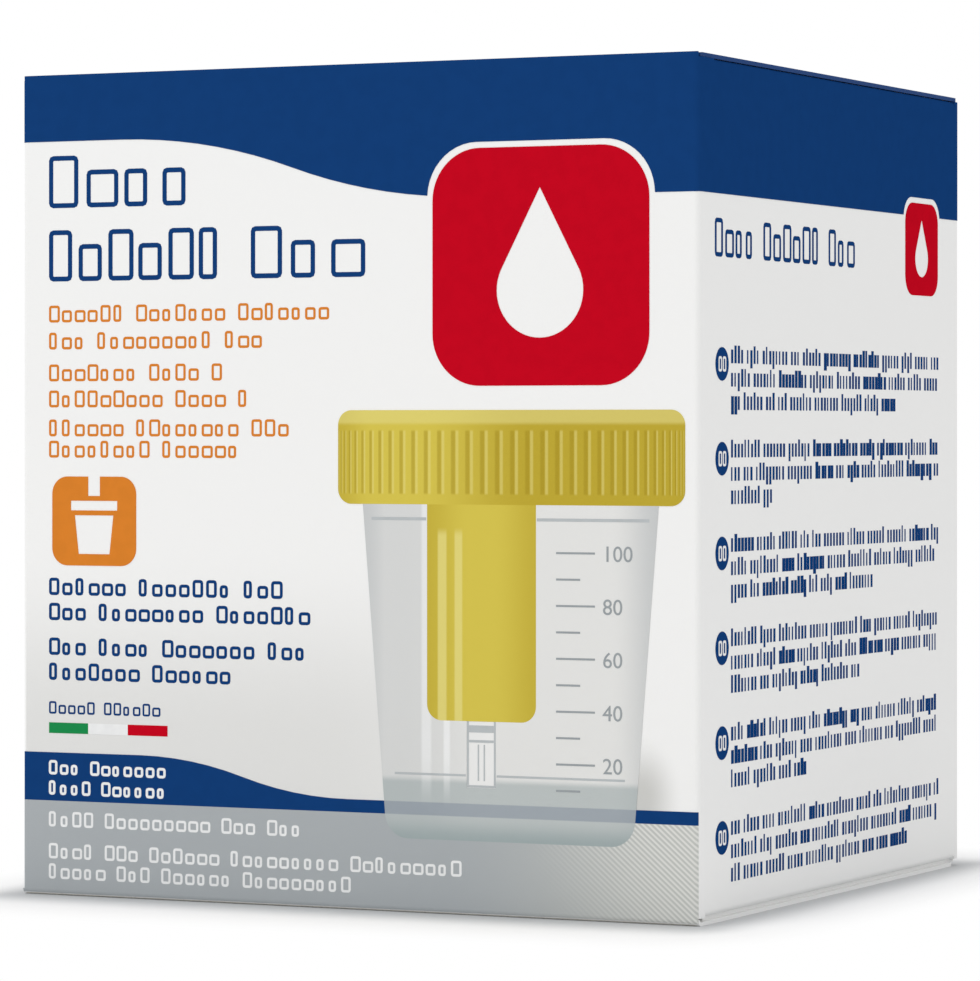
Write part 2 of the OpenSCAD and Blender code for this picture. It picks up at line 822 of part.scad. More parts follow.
// Half section of the cap without its ribs and its tube holder
module cap_section() {
    difference() {
        union() {
            translate([0, cap_under_z]) square([skirt_out_r, cap_plate_t]);
            translate([skirt_in_r, skirt_foot_z]) square([skirt_wall, cap_top_z - skirt_foot_z]);
            translate([recess_r, cap_plate_z]) square([label_rim_w, label_rim_h]);
            translate([skirt_in_r, skirt_foot_z]) square([skirt_wall + rib_proud, skirt_bead_h]);
            translate([plug_r - plug_wall, cap_under_z - plug_depth]) square([plug_wall, plug_depth]);
        }
        // Rounds the top edge
        translate([skirt_out_r - cap_edge_r, cap_top_z - cap_edge_r]) difference() {
            square(cap_edge_r + past);
            circle(r = cap_edge_r);
        }
    }
}

// Plan of the grip ribs, each with a round crest
module rib_plan() {
    crest_r = rib_w / 2;
    for (i = [0 : rib_count - 1]) rotate(i * 360 / rib_count)
        translate([cap_r - crest_r, 0]) circle(r = crest_r, $fn = 24);
}

module grip_ribs() {
    translate([0, 0, rib_z0]) linear_extrude(cap_top_z - cap_edge_r - rib_top_margin - rib_z0) difference() {
        rib_plan();
        circle(r = skirt_out_r - rib_root);
    }
}

// Half section of the tube holder's outside, or of its hollow
module holder_solid_section() {
    r0 = holder_foot_d / 2;
    r1 = holder_top_d / 2;
    difference() {
        polygon([[0, holder_foot_z], [r0, holder_foot_z], [r1, cap_under_z + cap_plate_t / 2],
            [0, cap_under_z + cap_plate_t / 2]]);
        translate([r0 - holder_foot_round, holder_foot_z]) difference() {
            translate([0, -past]) square(holder_foot_round + past);
            translate([0, holder_foot_round]) circle(r = holder_foot_round);
            translate([-past, holder_foot_round]) square(holder_foot_round + 2 * past);
        }
    }
}

module holder_hollow_section() {
    r0 = holder_foot_d / 2 - holder_wall;
    r1 = holder_top_d / 2 - holder_wall;
    polygon([[0, holder_floor_z], [r0, holder_floor_z], [r1, cap_plate_z], [r1, cap_plate_z + past],
        [0, cap_plate_z + past]]);
}

module on_holder_axis() {
    translate([-holder_offset, 0, 0]) children();
}

module screw_cap() {
    color(yellow) translate([0, 0, cup_z0]) difference() {
        union() {
            rotate_extrude() cap_section();
            grip_ribs();
            on_holder_axis() rotate_extrude() holder_solid_section();
        }
        on_holder_axis() rotate_extrude() holder_hollow_section();
        on_holder_axis() translate([0, 0, holder_foot_z - past])
            cylinder(r = tip_seat_r, h = holder_floor_t + 2 * past);
    }
}

module cap_label() {
    color("white") translate([0, 0, cup_z0 + cap_plate_z + glue_gap]) cylinder(r = cap_label_r, h = label_t);
}

// Half section of the suction tip: spigot, flange, neck through the floor, collar, barrel, end
module tip_section() {
    collar_z = holder_foot_z - tip_collar_h;
    barrel_z = collar_z - tip_barrel_h;
    seat_z = flange_top_z + tip_spigot_h - needle_seat_depth;
    bore_r = tip_bore_d / 2;
    needle_r = needle_d / 2 + needle_fit;
    polygon([
        [bore_r, tip_end_z],
        [tip_end_d / 2, tip_end_z],
        [tip_end_d / 2 + tip_end_flare, barrel_z - tip_step_h],
        [tip_barrel_d / 2, barrel_z],
        [tip_barrel_d / 2, collar_z - tip_neck_h],
        [tip_collar_d / 2 - tip_collar_chamfer, collar_z],
        [tip_collar_d / 2, collar_z + tip_collar_chamfer],
        [tip_collar_d / 2, holder_foot_z],
        [tip_seat_r - tip_fit, holder_foot_z],
        [tip_seat_r - tip_fit, holder_floor_z],
        [tip_flange_r, holder_floor_z],
        [tip_flange_r, flange_top_z],
        [tip_spigot_r, flange_top_z],
        [tip_spigot_r, flange_top_z + tip_spigot_h],
        [needle_r, flange_top_z + tip_spigot_h],
        [needle_r, seat_z],
        [bore_r, seat_z],
    ]);
}

module suction_tip() {
    color([0.95, 0.96, 0.97, 0.6]) translate([0, 0, cup_z0]) on_holder_axis()
        rotate_extrude() tip_section();
}

// A thin tube with a slanted point
module needle() {
    z0 = flange_top_z + tip_spigot_h - needle_seat_depth;
    color("silver") translate([0, 0, cup_z0]) on_holder_axis() difference() {
        translate([0, 0, z0]) cylinder(d = needle_d, h = needle_top_z - z0, $fn = 32);
        translate([0, 0, z0 - past])
            cylinder(r = needle_d / 2 - needle_wall, h = needle_top_z - z0 + 2 * past, $fn = 32);
        translate([needle_d / 2, 0, needle_top_z]) rotate([0, needle_bevel, 0])
            translate([-needle_d * 4, -needle_d, -needle_d * 6])
            cube([needle_d * 4, needle_d * 2, needle_d * 12]);
    }
}

module needle_sleeve() {
    top = needle_top_z + sleeve_top_gap + sleeve_cap_t;
    color([0.55, 0.56, 0.58]) translate([0, 0, cup_z0]) on_holder_axis() rotate_extrude() polygon([
        [sleeve_in_r, flange_top_z],
        [sleeve_d / 2, flange_top_z],
        [sleeve_d / 2, top - sleeve_cap_t],
        [sleeve_d / 2 - sleeve_wall, top],
        [0, top],
        [0, top - sleeve_cap_t],
        [sleeve_in_r, top - sleeve_cap_t],
    ]);
}

carton();
carton_lid();
cup();
writing_label();
screw_cap();
cap_label();
suction_tip();
needle();
needle_sleeve();
print_blue();
print_red();
print_grey();
print_orange();
print_yellow();
print_clear();
lid_print();
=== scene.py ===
"""Looks of a folding carton with a tuck-in lid that holds a specimen container.

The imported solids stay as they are. This script gives each of them its finish, and adds the fine
print, the crease over the lid's hinge, the cup's thread and numbers, the stage and the camera.
Sizes are in millimetres, apart from the stage's, which are in metres.
"""

import json
import logging
import math
import random
from contextlib import contextmanager
from dataclasses import dataclass, field
from enum import Enum
from typing import Callable, Iterator, NamedTuple, Sequence

import bmesh
import bpy
from mathutils import Matrix, Vector


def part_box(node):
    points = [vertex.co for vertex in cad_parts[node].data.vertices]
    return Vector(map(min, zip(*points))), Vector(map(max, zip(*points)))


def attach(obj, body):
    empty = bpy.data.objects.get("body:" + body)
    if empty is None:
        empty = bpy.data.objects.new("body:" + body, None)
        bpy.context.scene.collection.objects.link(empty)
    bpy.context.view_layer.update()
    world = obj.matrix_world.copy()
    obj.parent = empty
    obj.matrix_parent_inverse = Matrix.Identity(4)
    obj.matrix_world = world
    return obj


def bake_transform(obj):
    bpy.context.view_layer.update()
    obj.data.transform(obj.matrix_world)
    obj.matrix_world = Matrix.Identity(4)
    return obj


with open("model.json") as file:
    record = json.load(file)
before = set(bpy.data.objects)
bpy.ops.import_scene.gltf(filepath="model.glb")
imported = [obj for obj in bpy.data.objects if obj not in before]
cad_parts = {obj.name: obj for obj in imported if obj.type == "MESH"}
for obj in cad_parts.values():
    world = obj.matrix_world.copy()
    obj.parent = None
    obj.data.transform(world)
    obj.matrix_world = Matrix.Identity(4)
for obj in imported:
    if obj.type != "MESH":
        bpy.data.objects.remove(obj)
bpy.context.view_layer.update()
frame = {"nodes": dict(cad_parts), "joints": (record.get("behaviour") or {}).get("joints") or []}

MM = 0.001
log = logging.getLogger("carton")

# The thickness of a printed film, the height of print that lies on other print, and how far the
# pictured tube holder stands to the left of the pictured cap's middle.
FILM = 0.02
OVERPRINT = 0.04
HOLDER_OFFSET = 3.0

Number = float | int
Colour = tuple[float, float, float]
Box = tuple[float, float, float, float]
Constants = tuple[tuple[str, float], ...]
Material = bpy.types.Material
Piece = bpy.types.Object
Socket = bpy.types.NodeSocket


def srgb(code: str) -> Colour:
    """Turns a colour's six hexadecimal digits into linear red, green and blue."""
    parts = [int(code[i:i + 2], 16) / 255 for i in (0, 2, 4)]
    return tuple(p / 12.92 if p <= 0.04045 else ((p + 0.055) / 1.055) ** 2.4 for p in parts)


def box_mm(node: str) -> tuple[Vector, Vector]:
    """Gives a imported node's lowest and highest corners in millimetres."""
    return tuple(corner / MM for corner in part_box(node))


class Body(Enum):
    """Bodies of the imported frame."""

    CARTON = "carton"
    LID = "carton_lid"
    CAP = "screw_cap"


class Slot(Enum):
    """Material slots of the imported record."""

    CLEAR_PLASTIC = "clear_plastic"
    BLUE = "ink_blue"
    RED = "ink_red"
    GREY = "ink_grey"
    ORANGE = "ink_orange"
    PALE = "ink_pale"


# Shader graph


def operator(operation: str, flipped: bool = False) -> Callable[..., "Value"]:
    """Makes a method of Value that adds a Math node.

    Args:
        operation: The node's operation.
        flipped: Whether the method's own value comes last.

    Returns:
        The method.
    """
    def method(self: "Value", *others: "Value | Number") -> "Value":
        """Adds the Math node on this value and the others."""
        return self.graph.math(operation, *((*others, self) if flipped else (self, *others)))

    return method


class Value:
    """A shader socket that takes part in Python arithmetic."""

    def __init__(self, graph: "Graph", socket: Socket) -> None:
        """Keeps the socket and the graph that holds it."""
        self.graph = graph
        self.socket = socket

    __add__ = __radd__ = operator("ADD")
    __sub__ = operator("SUBTRACT")
    __rsub__ = operator("SUBTRACT", flipped=True)
    __mul__ = __rmul__ = operator("MULTIPLY")
    __truediv__ = operator("DIVIDE")
    __abs__ = operator("ABSOLUTE")
    root = operator("SQRT")
    least = operator("MINIMUM")
    most = operator("MAXIMUM")

    def ramp(self, low: Number, high: Number) -> "Value":
        """Runs smoothly from 0 at one value to 1 at another.

        Args:
            low: Where the result is 0.
            high: Where the result is 1; it may be the smaller one.

        Returns:
            The eased value, held between 0 and 1.
        """
        node = self.graph.node(
            "ShaderNodeMapRange",
            {"interpolation_type": "SMOOTHSTEP"},
            {"Value": self, "From Min": min(low, high), "From Max": max(low, high)},
        )
        eased = Value(self.graph, node.outputs["Result"])
        return 1 - eased if high < low else eased


class Place(NamedTuple):
    """A surface point's object coordinates in millimetres."""

    x: Value
    y: Value
    z: Value


@dataclass(frozen=True)
class Grain:
    """A noise pattern: its size, its levels of finer grain, and how much longer it is along each axis."""

    size: float
    detail: float = 2
    stretch: Colour = (1, 1, 1)


class Graph:
    """The node tree of a material or of the world."""

    def __init__(self, owner: bpy.types.ID) -> None:
        """Empties the owner's tree.

        Args:
            owner: The material or the world.
        """
        owner.use_nodes = True
        self.owner = owner
        self.tree = owner.node_tree
        self.tree.nodes.clear()

    def node(self, kind: str, settings: dict | None = None, sockets: dict | None = None) -> bpy.types.Node:
        """Adds a node.

        Args:
            kind: The node's type name.
            settings: Its properties, which are set first.
            sockets: Input values by name or index: a number, a tuple, a Value or a socket.

        Returns:
            The new node.
        """
        made = self.tree.nodes.new(kind)
        for key, value in (settings or {}).items():
            setattr(made, key, value)
        for key, value in (sockets or {}).items():
            socket = made.inputs[key]
            source = value.socket if isinstance(value, Value) else value
            if isinstance(source, Socket):
                self.tree.links.new(source, socket)
            else:
                socket.default_value = source
        return made

    def math(self, operation: str, *terms: Value | Number) -> Value:
        """Adds a Math node on the terms."""
        made = self.node("ShaderNodeMath", {"operation": operation}, dict(enumerate(terms)))
        return Value(self, made.outputs[0])

    def place(self) -> Place:
        """Reads the surface point.

        Returns:
            Its object coordinates in millimetres.
        """
        coordinates = self.node("ShaderNodeTexCoord").outputs["Object"]
        parts = self.node("ShaderNodeSeparateXYZ", None, {0: coordinates}).outputs
        return Place(*(Value(self, part) * (1 / MM) for part in parts))

    def noise(self, grain: Grain) -> Value:
        """Adds a noise pattern on object coordinates.

        Args:
            grain: The pattern.

        Returns:
            A value from 0 to 1, mostly near a half.
        """
        coordinates = self.node("ShaderNodeTexCoord").outputs["Object"]
        scale = tuple(1 / (grain.size * MM * longer) for longer in grain.stretch)
        mapped = self.node("ShaderNodeMapping", None, {"Vector": coordinates, "Scale": scale}).outputs[0]
        sockets = {"Vector": mapped, "Scale": 1.0, "Detail": grain.detail}
        return Value(self, self.node("ShaderNodeTexNoise", None, sockets).outputs["Fac"])

    def blend(self, factor: Value | Number, first: object, second: object) -> Socket:
        """Mixes two colours.

        Args:
            factor: 0 for the first colour, 1 for the second.
            first: A colour or a colour socket.
            second: A colour or a colour socket.

        Returns:
            The mixed colour's socket.
        """
        ends = [(*colour, 1.0) if isinstance(colour, tuple) else colour for colour in (first, second)]
        made = self.node("ShaderNodeMix", {"data_type": "RGBA"}, {0: factor, 6: ends[0], 7: ends[1]})
        return made.outputs[2]

    def bump(self, height: Value, relief: Number, share: Number) -> Socket:
        """Turns a height from 0 to 1, its relief in millimetres and the share that shows into a normal."""
        sockets = {"Strength": share, "Distance": relief * MM, "Height": height}
        return self.node("ShaderNodeBump", None, sockets).outputs[0]

    def surface(self, sockets: dict) -> Material:
        """Ends the graph in a principled surface.

        Args:
            sockets: The surface's inputs by name.

        Returns:
            The finished material.
        """
        filled = {key: (*value, 1.0) if isinstance(value, tuple) else value for key, value in sockets.items()}
        shader = self.node("ShaderNodeBsdfPrincipled", None, filled)
        self.node("ShaderNodeOutputMaterial", None, {0: shader.outputs[0]})
        return self.owner

    def seen(self) -> Value:
        """Finds the rays that show a thing to the eye.

        Returns:
            1 on camera, glossy and transmitted rays, 0 on others.
        """
        ray = self.node("ShaderNodeLightPath").outputs
        direct = Value(self, ray["Is Camera Ray"]) + Value(self, ray["Is Glossy Ray"])
        return (direct + Value(self, ray["Is Transmission Ray"])).least(1.0)


# Finishes


@dataclass(frozen=True)
class CartonSizes:
    """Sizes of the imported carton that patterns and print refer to."""

    half_w: float
    half_d: float
    height: float
    board: float = 0.38
    fold: float = 0.6
    side_foot: float = 0.76
    side_top: float = 84.5

    @classmethod
    def from_frame(cls) -> "CartonSizes":
        """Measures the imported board."""
        high = box_mm("carton")[1]
        return cls(high.x, high.y, high.z)


@dataclass(frozen=True)
class BoardFinish:
    """Folding boxboard: coated outside, bare fibre inside and at its cut edges."""

    sizes: CartonSizes
    coated: Colour = srgb("F1F1F0")
    # The grey of the painted shade low on the front panel, also used for the shadow drawn beside the pictured
    # cup.
    shade: Colour = srgb("CBCBC8")
    ink: Colour = srgb("143D75")
    bare: Colour = srgb("DEDBD2")
    fleck: Colour = srgb("C6C0B3")
    grain: Grain = Grain(0.22, 3)
    fibre: Grain = Grain(0.35, 3, (1, 1, 3))
    cast_middle: tuple[float, float] = (32.2, 12.3)
    cast_reach: tuple[float, float] = (4.4, 6.4)
    flap_reach: float = 3.2
    band: float = 6.9

    def coated_side(self, at: Place) -> Value:
        """Masks the side of the board that is coated.

        Args:
            at: The surface point.

        Returns:
            1 on the coated side, 0 elsewhere.
        """
        s = self.sizes
        across = (abs(at.x) - (s.half_w - s.fold)).most(0)
        along = (abs(at.y) - (s.half_d - s.fold)).most(0)
        up = (at.z - (s.side_top - s.fold)).most(s.side_foot + s.fold - at.z).most(0)
        up = up * (s.half_d - abs(at.y)).ramp(s.board, s.board + 0.02)
        off = (across * across + along * along + up * up).root()
        return (off - (s.fold - s.board / 2)).ramp(-0.01, 0.01)

    def printed(self, at: Place) -> object:
        """Gives the coating's colour, with painted shade in grey low on the front panel, the shadow drawn
        beside the pictured cup and the blue that runs over edges.

        Args:
            at: The surface point.

        Returns:
            The colour's socket.
        """
        s = self.sizes
        x, y, z = at
        blend = x.graph.blend
        on_front = (0 - y).ramp(s.half_d - 0.05, s.half_d - 0.01)
        # Painted shade: the front's coated white turns grey low and to the left, standing in for weaker light
        # there.
        left = x.ramp(0.75 * s.half_w, -0.1 * s.half_w)
        low = z.ramp(0.43 * s.height, 0.2 * s.height)
        # The shadow drawn beside the pictured cup, in the same grey.
        across = (x - self.cast_middle[0]) / self.cast_reach[0]
        up = (z - self.cast_middle[1]) / self.cast_reach[1]
        cast = (across * across + up * up).root().ramp(1.0, 0.1)
        ground = blend(on_front * (left * low * 0.5).most(cast), self.coated, self.shade)
        fold_z = s.side_top - s.fold
        flap_x = s.half_w - self.flap_reach
        flap = z.ramp(fold_z - 0.04, fold_z - 0.02) * abs(x).ramp(flap_x - 0.1, flap_x)
        seam = x.ramp(0.75 - s.half_w, 0.7 - s.half_w) * y.ramp(s.half_d - 1.2, s.half_d - 1.1)
        foot = s.height - self.band
        return blend(flap.most(seam * z.ramp(foot - 0.02, foot + 0.02)), ground, self.ink)

    def material(self, name: str) -> Material:
        """Builds the board's material.

        Args:
            name: The material's name.

        Returns:
            The material.
        """
        g = Graph(bpy.data.materials.new(name))
        at = g.place()
        outside = self.coated_side(at)
        inner = g.blend(g.noise(self.fibre).ramp(0.56, 0.72) * 0.55, self.bare, self.fleck)
        grain = g.noise(self.grain)
        return g.surface({
            "Base Color": g.blend(outside, inner, self.printed(at)),
            "Roughness": 0.86 - outside * 0.3 + (grain - 0.5) * 0.12,
            "Normal": g.bump(grain * (1.0 - outside * 0.75), 0.02, 0.5),
            "Specular IOR Level": 0.06,
        })


@dataclass(frozen=True)
class LidFinish(BoardFinish):
    """The lid's board: bare underneath, its ink run over the side edges and the tuck fold."""

    tab_face: float = 35.92
    tab_top: float = 84.34
    tab_lean: float = 0.0875
    panel_drop: float = 0.06
    ink_run: float = 0.5
    fold_ink: float = 2.5

    def coated_side(self, at: Place) -> Value:
        """Masks the panel's top, its inked side edges and the tab's outer face.

        Args:
            at: The surface point.

        Returns:
            1 on the coated side, 0 elsewhere.
        """
        s = self.sizes
        skin = s.board / 2
        tab = 0 - at.y - self.tab_face + (self.tab_top - at.z) * self.tab_lean
        face = (tab + skin).most(at.z - (s.height - self.panel_drop - skin)).ramp(-0.01, 0.01)
        return face.most(self.side_edge(at))

    def side_edge(self, at: Place) -> Value:
        """Masks the panel's two cut side edges, with the ink that ran a little way under them."""
        edge, foot = self.sizes.half_w - self.ink_run, self.sizes.height - 0.9
        return abs(at.x).ramp(edge - 0.04, edge) * at.z.ramp(foot - 0.1, foot)

    def printed(self, at: Place) -> object:
        """Gives the coating's colour, inked at the side edges and down to just below the tuck fold."""
        foot = self.sizes.height - self.fold_ink
        return at.x.graph.blend(self.side_edge(at).most(at.z.ramp(foot - 0.1, foot)), self.coated, self.ink)


@dataclass(frozen=True)
class Finish:
    """A surface with a faint mottle in its colour, and one grain in its gloss and its relief."""

    colour: Colour
    roughness: float = 0.5
    swing: float = 0.12
    grain: Grain = Grain(0.22, 3)
    relief: float = 0.01
    relief_share: float = 0.5
    mottle: Grain = Grain(1.6, 3)
    mottle_ends: tuple[float, float] = (0.35, 0.65)
    mottle_share: float = 0.0
    darker: float = 1.0
    constants: Constants = ()

    def tone(self, g: Graph) -> object:
        """Gives the colour, with its mottle where it has one.

        Args:
            g: The graph to build in.

        Returns:
            The colour or its socket.
        """
        if not self.mottle_share:
            return self.colour
        spots = g.noise(self.mottle).ramp(*self.mottle_ends) * self.mottle_share
        return g.blend(spots, self.colour, tuple(self.darker * part for part in self.colour))

    def material(self, name: str) -> Material:
        """Builds the finish's material.

        Args:
            name: The material's name.

        Returns:
            The material.
        """
        g = Graph(bpy.data.materials.new(name))
        grain = g.noise(self.grain)
        return g.surface({
            "Base Color": self.tone(g),
            "Roughness": (grain - 0.5) * self.swing + self.roughness,
            "Normal": g.bump(grain, self.relief, self.relief_share),
            **dict(self.constants),
        })


@dataclass(frozen=True)
class InkFinish(Finish):
    """One offset ink under matt varnish, laid down a little unevenly."""

    relief: float = 0.004
    mottle_share: float = 0.6
    darker: float = 0.93
    constants: Constants = (("Specular IOR Level", 0.0),)


@dataclass(frozen=True)
class HatchedField(InkFinish):
    """A grey field that grows paler to the right, with thin white lines across its right end."""

    half_w: float = 38.29
    pale: Colour = srgb("BFC1BD")
    line: Colour = srgb("E6E6E2")
    pitch: float = 0.55
    slope: float = 0.85

    def tone(self, g: Graph) -> object:
        """Gives the field's fade and its hatching.

        Args:
            g: The graph to build in.

        Returns:
            The colour's socket.
        """
        x, _, z = g.place()
        ground = g.blend(x.ramp(0.25 * self.half_w, 0.95 * self.half_w), self.colour, self.pale)
        wave = abs(g.math("FRACT", (x * self.slope + z) / self.pitch) - 0.5)
        reach = (x + z * 0.5).ramp(0.58 * self.half_w, 1.05 * self.half_w)
        return g.blend(wave.ramp(0.3, 0.18) * reach * 0.75, ground, self.line)


@dataclass(frozen=True)
class PictureGlaze(InkFinish):
    """The pale ink of the pictured cup, shaded as a clear round wall."""

    middle: float = 0.0
    half_width: float = 15.0
    foot: float = 7.4
    rim: Colour = srgb("BDC0C1")
    pool: Colour = srgb("9DA9AA")
    gleam: Colour = srgb("EFF0F0")
    line_behind: Colour = srgb("143D75")
    line_foot: float = 9.8
    line_height: float = 1.3

    def tone(self, g: Graph) -> object:
        """Gives darker sides, two streaks of light, a darker foot and the blue line behind the wall.

        Args:
            g: The graph to build in.

        Returns:
            The colour's socket.
        """
        x, _, z = g.place()
        across = (x - self.middle) / self.half_width
        sides = abs(across).ramp(0.68, 1.02) * 0.8
        left = across.ramp(-0.15, -0.7) * 0.4
        shaded = g.blend(sides.most(left), self.colour, self.rim)
        base = z.ramp(self.foot + 6.4, self.foot + 5.6) * 0.62
        deeper = z.ramp(self.foot + 2.4, self.foot) * 0.36
        pooled = g.blend(base + deeper, shaded, self.pool)
        low, high = self.line_foot, self.line_foot + self.line_height
        behind = z.ramp(low - 0.05, low + 0.05) * z.ramp(high + 0.05, high - 0.05)
        tinted = g.blend(behind * 0.3, pooled, self.line_behind)
        wide = abs(across + 0.56).ramp(0.045, 0.02) * 0.6
        narrow = abs(across + 0.42).ramp(0.03, 0.012) * 0.8
        return g.blend(wide.most(narrow) * z.ramp(self.foot + 3, self.foot + 9), tinted, self.gleam)


@dataclass(frozen=True)
class PictureCap(InkFinish):
    """The yellow ink of the pictured cap and tube holder, shaded as ribbed and smooth rounds."""

    middle: float = 0.0
    half_width: float = 19.0
    cap_foot: float = 40.8
    cap_top: float = 50.2
    holder_half_width: float = 6.0
    ribs: int = 36
    deep: Colour = srgb("B39B2C")
    groove: Colour = srgb("A08824")
    light: Colour = srgb("E3D884")

    def tone(self, g: Graph) -> object:
        """Gives ribs on the cap, a smooth rim above them and a smooth holder below.

        Args:
            g: The graph to build in.

        Returns:
            The colour's socket.
        """
        x, _, z = g.place()
        foot, top = self.cap_foot, self.cap_top
        across = ((x - self.middle) / self.half_width).least(0.999).most(-0.999)
        turn = g.math("ARCSINE", across) * (2 * self.ribs)
        ribbed = z.ramp(foot + 0.9, foot + 1.2) * z.ramp(top - 1.9, top - 2.2)
        side = (across.ramp(-0.55, 0.15) * 1.5).most(abs(across).ramp(0.8, 1.0))
        along = (x - (self.middle - HOLDER_OFFSET)) / self.holder_half_width
        on_cap = z.ramp(foot - 0.05, foot + 0.05)
        depth = side * on_cap + abs(along).ramp(0.2, 1.05) * (1 - on_cap)
        shaded = g.blend(depth * 0.5, self.colour, self.deep)
        grooved = g.blend(g.math("SINE", turn).ramp(0.2, 0.95) * ribbed * 0.5, shaded, self.groove)
        lit = g.math("SINE", turn - 1.7).ramp(0.6, 1.0) * ribbed * 0.45
        rim = (z.ramp(top - 1.6, top - 1.1) * 0.55).most(lit)
        gleam = abs(along + 0.72).ramp(0.1, 0.06).most(abs(along + 0.42).ramp(0.09, 0.05))
        return g.blend(rim.most(gleam * z.ramp(foot - 2.2, foot - 3.2) * 0.75), grooved, self.light)


@dataclass(frozen=True)
class Moulded(Finish):
    """An opaque moulded plastic with faint flow marks and a fine mould grain."""

    roughness: float = 0.34
    swing: float = 0.14
    grain: Grain = Grain(0.5)
    relief: float = 0.012
    mottle: Grain = Grain(9, 2, (1, 1, 2))
    mottle_share: float = 0.12
    darker: float = 0.8
    constants: Constants = (("Specular IOR Level", 0.4),)


@dataclass(frozen=True)
class ClearMoulded(Finish):
    """A see-through moulded plastic."""

    roughness: float = 0.1
    swing: float = 0.06
    grain: Grain = Grain(2.5)
    relief_share: float = 0.4
    constants: Constants = (("Transmission Weight", 0.96), ("IOR", 1.45))


@dataclass(frozen=True)
class MilkyMoulded(ClearMoulded):
    """A moulded plastic that lets light through and blurs it."""

    roughness: float = 0.3
    constants: Constants = (("Transmission Weight", 0.6), ("IOR", 1.45))


@dataclass(frozen=True)
class GroundSteel(Finish):
    """Thin ground tube of stainless steel."""

    roughness: float = 0.31
    swing: float = 0.18
    grain: Grain = Grain(0.05, 2, (1, 1, 40))
    relief: float = 0.003
    constants: Constants = (("Metallic", 1.0),)


@dataclass(frozen=True)
class LabelFilm(Finish):
    """White label film with a faint paper tooth."""

    swing: float = 0.2
    grain: Grain = Grain(0.3, 3)
    relief_share: float = 0.4
    mottle: Grain = Grain(0.3, 3)
    mottle_ends: tuple[float, float] = (0.4, 0.7)
    mottle_share: float = 0.5
    darker: float = 0.95
    constants: Constants = (("Specular IOR Level", 0.3),)


@dataclass(frozen=True)
class Coat:
    """A material, and a slot of the imported record."""

    material: Material
    slot: Slot


class Inks:
    """The inks of the fine print."""

    def __init__(self) -> None:
        """Mixes the inks."""
        self.blue = self.mix("143D75", "ink_deep_blue", Slot.BLUE)
        self.red = self.mix("C30A20", "ink_bright_red", Slot.RED)
        self.orange = self.mix("D9812E", "ink_warm_orange", Slot.ORANGE)
        self.green = self.mix("1F8A4C", "ink_leaf_green", Slot.GREY)
        self.white = self.mix("EDEEEE", "ink_opaque_white", Slot.PALE)
        self.mark = self.mix("9BA1A4", "ink_scale_grey", Slot.PALE)
        self.haze = self.mix("B9BEC0", "ink_pale_grey", Slot.PALE)

    def mix(self, code: str, name: str, slot: Slot) -> Coat:
        """Makes one ink from its colour code."""
        return Coat(InkFinish(srgb(code)).material(name), slot)


# Modelling helpers


def deselect_all() -> None:
    """Leaves nothing selected."""
    bpy.ops.object.select_all(action="DESELECT")


def activate(pieces: Sequence[Piece]) -> None:
    """Selects some pieces alone, and makes the first one active.

    Args:
        pieces: The pieces.
    """
    deselect_all()
    for piece in pieces:
        piece.select_set(True)
    bpy.context.view_layer.objects.active = pieces[0]


@contextmanager
def editing(piece: Piece) -> Iterator[bmesh.types.BMesh]:
    """Opens a piece in edit mode with nothing in it selected.

    Args:
        piece: The mesh object to edit.

    Yields:
        The piece's edit mesh.
    """
    activate([piece])
    bpy.ops.object.mode_set(mode="EDIT")
    bpy.ops.mesh.select_all(action="DESELECT")
    try:
        yield bmesh.from_edit_mesh(piece.data)
    finally:
        bpy.ops.object.mode_set(mode="OBJECT")


def face_outwards(gap: float = 0.0) -> None:
    """Turns all faces of the mesh in edit mode outwards.

    Args:
        gap: Vertices closer than this are merged first.
    """
    bpy.ops.mesh.select_all(action="SELECT")
    if gap:
        bpy.ops.mesh.remove_doubles(threshold=gap)
    bpy.ops.mesh.normals_make_consistent(inside=False)


def extrude(x: float, y: float, z: float) -> None:
    """Extrudes what is selected in edit mode."""
    bpy.ops.mesh.extrude_region_move(TRANSFORM_OT_translate={"value": (x, y, z)})


def raise_film() -> None:
    """Gives the flat mesh in edit mode the thickness of a printed film."""
    bpy.ops.mesh.select_all(action="SELECT")
    extrude(0, 0, FILM)
    face_outwards()


def raise_outline(stroke: float) -> None:
    """Turns the flat face in edit mode into a printed outline.

    Args:
        stroke: The outline's width.
    """
    bpy.ops.mesh.select_all(action="SELECT")
    bpy.ops.mesh.inset(thickness=stroke)
    bpy.ops.mesh.delete(type="ONLY_FACE")
    raise_film()


def sheet(width: float, height: float, middle: Sequence[float], upright: bool = False) -> Piece:
    """Adds a rectangle to shape further.

    Args:
        width: Its width along x.
        height: Its height, along y when it lies and along z when it stands.
        middle: Its middle.
        upright: Whether it stands.

    Returns:
        The rectangle, with its place in its mesh.
    """
    deselect_all()
    tilt = math.pi / 2 if upright else 0
    bpy.ops.mesh.primitive_plane_add(size=1, location=middle, rotation=(tilt, 0, 0))
    made = bpy.context.active_object
    made.scale = (width, height, 1)
    bpy.ops.object.transform_apply(location=True, rotation=True, scale=True)
    return made


def disc(radius: float, middle: Sequence[float]) -> Piece:
    """Adds a flat disc to shape further.

    Args:
        radius: Its radius.
        middle: Its middle.

    Returns:
        The disc, with its place in its mesh.
    """
    deselect_all()
    bpy.ops.mesh.primitive_circle_add(vertices=96, radius=radius, fill_type="NGON", location=middle)
    bpy.ops.object.transform_apply(location=True, rotation=True, scale=True)
    return bpy.context.active_object


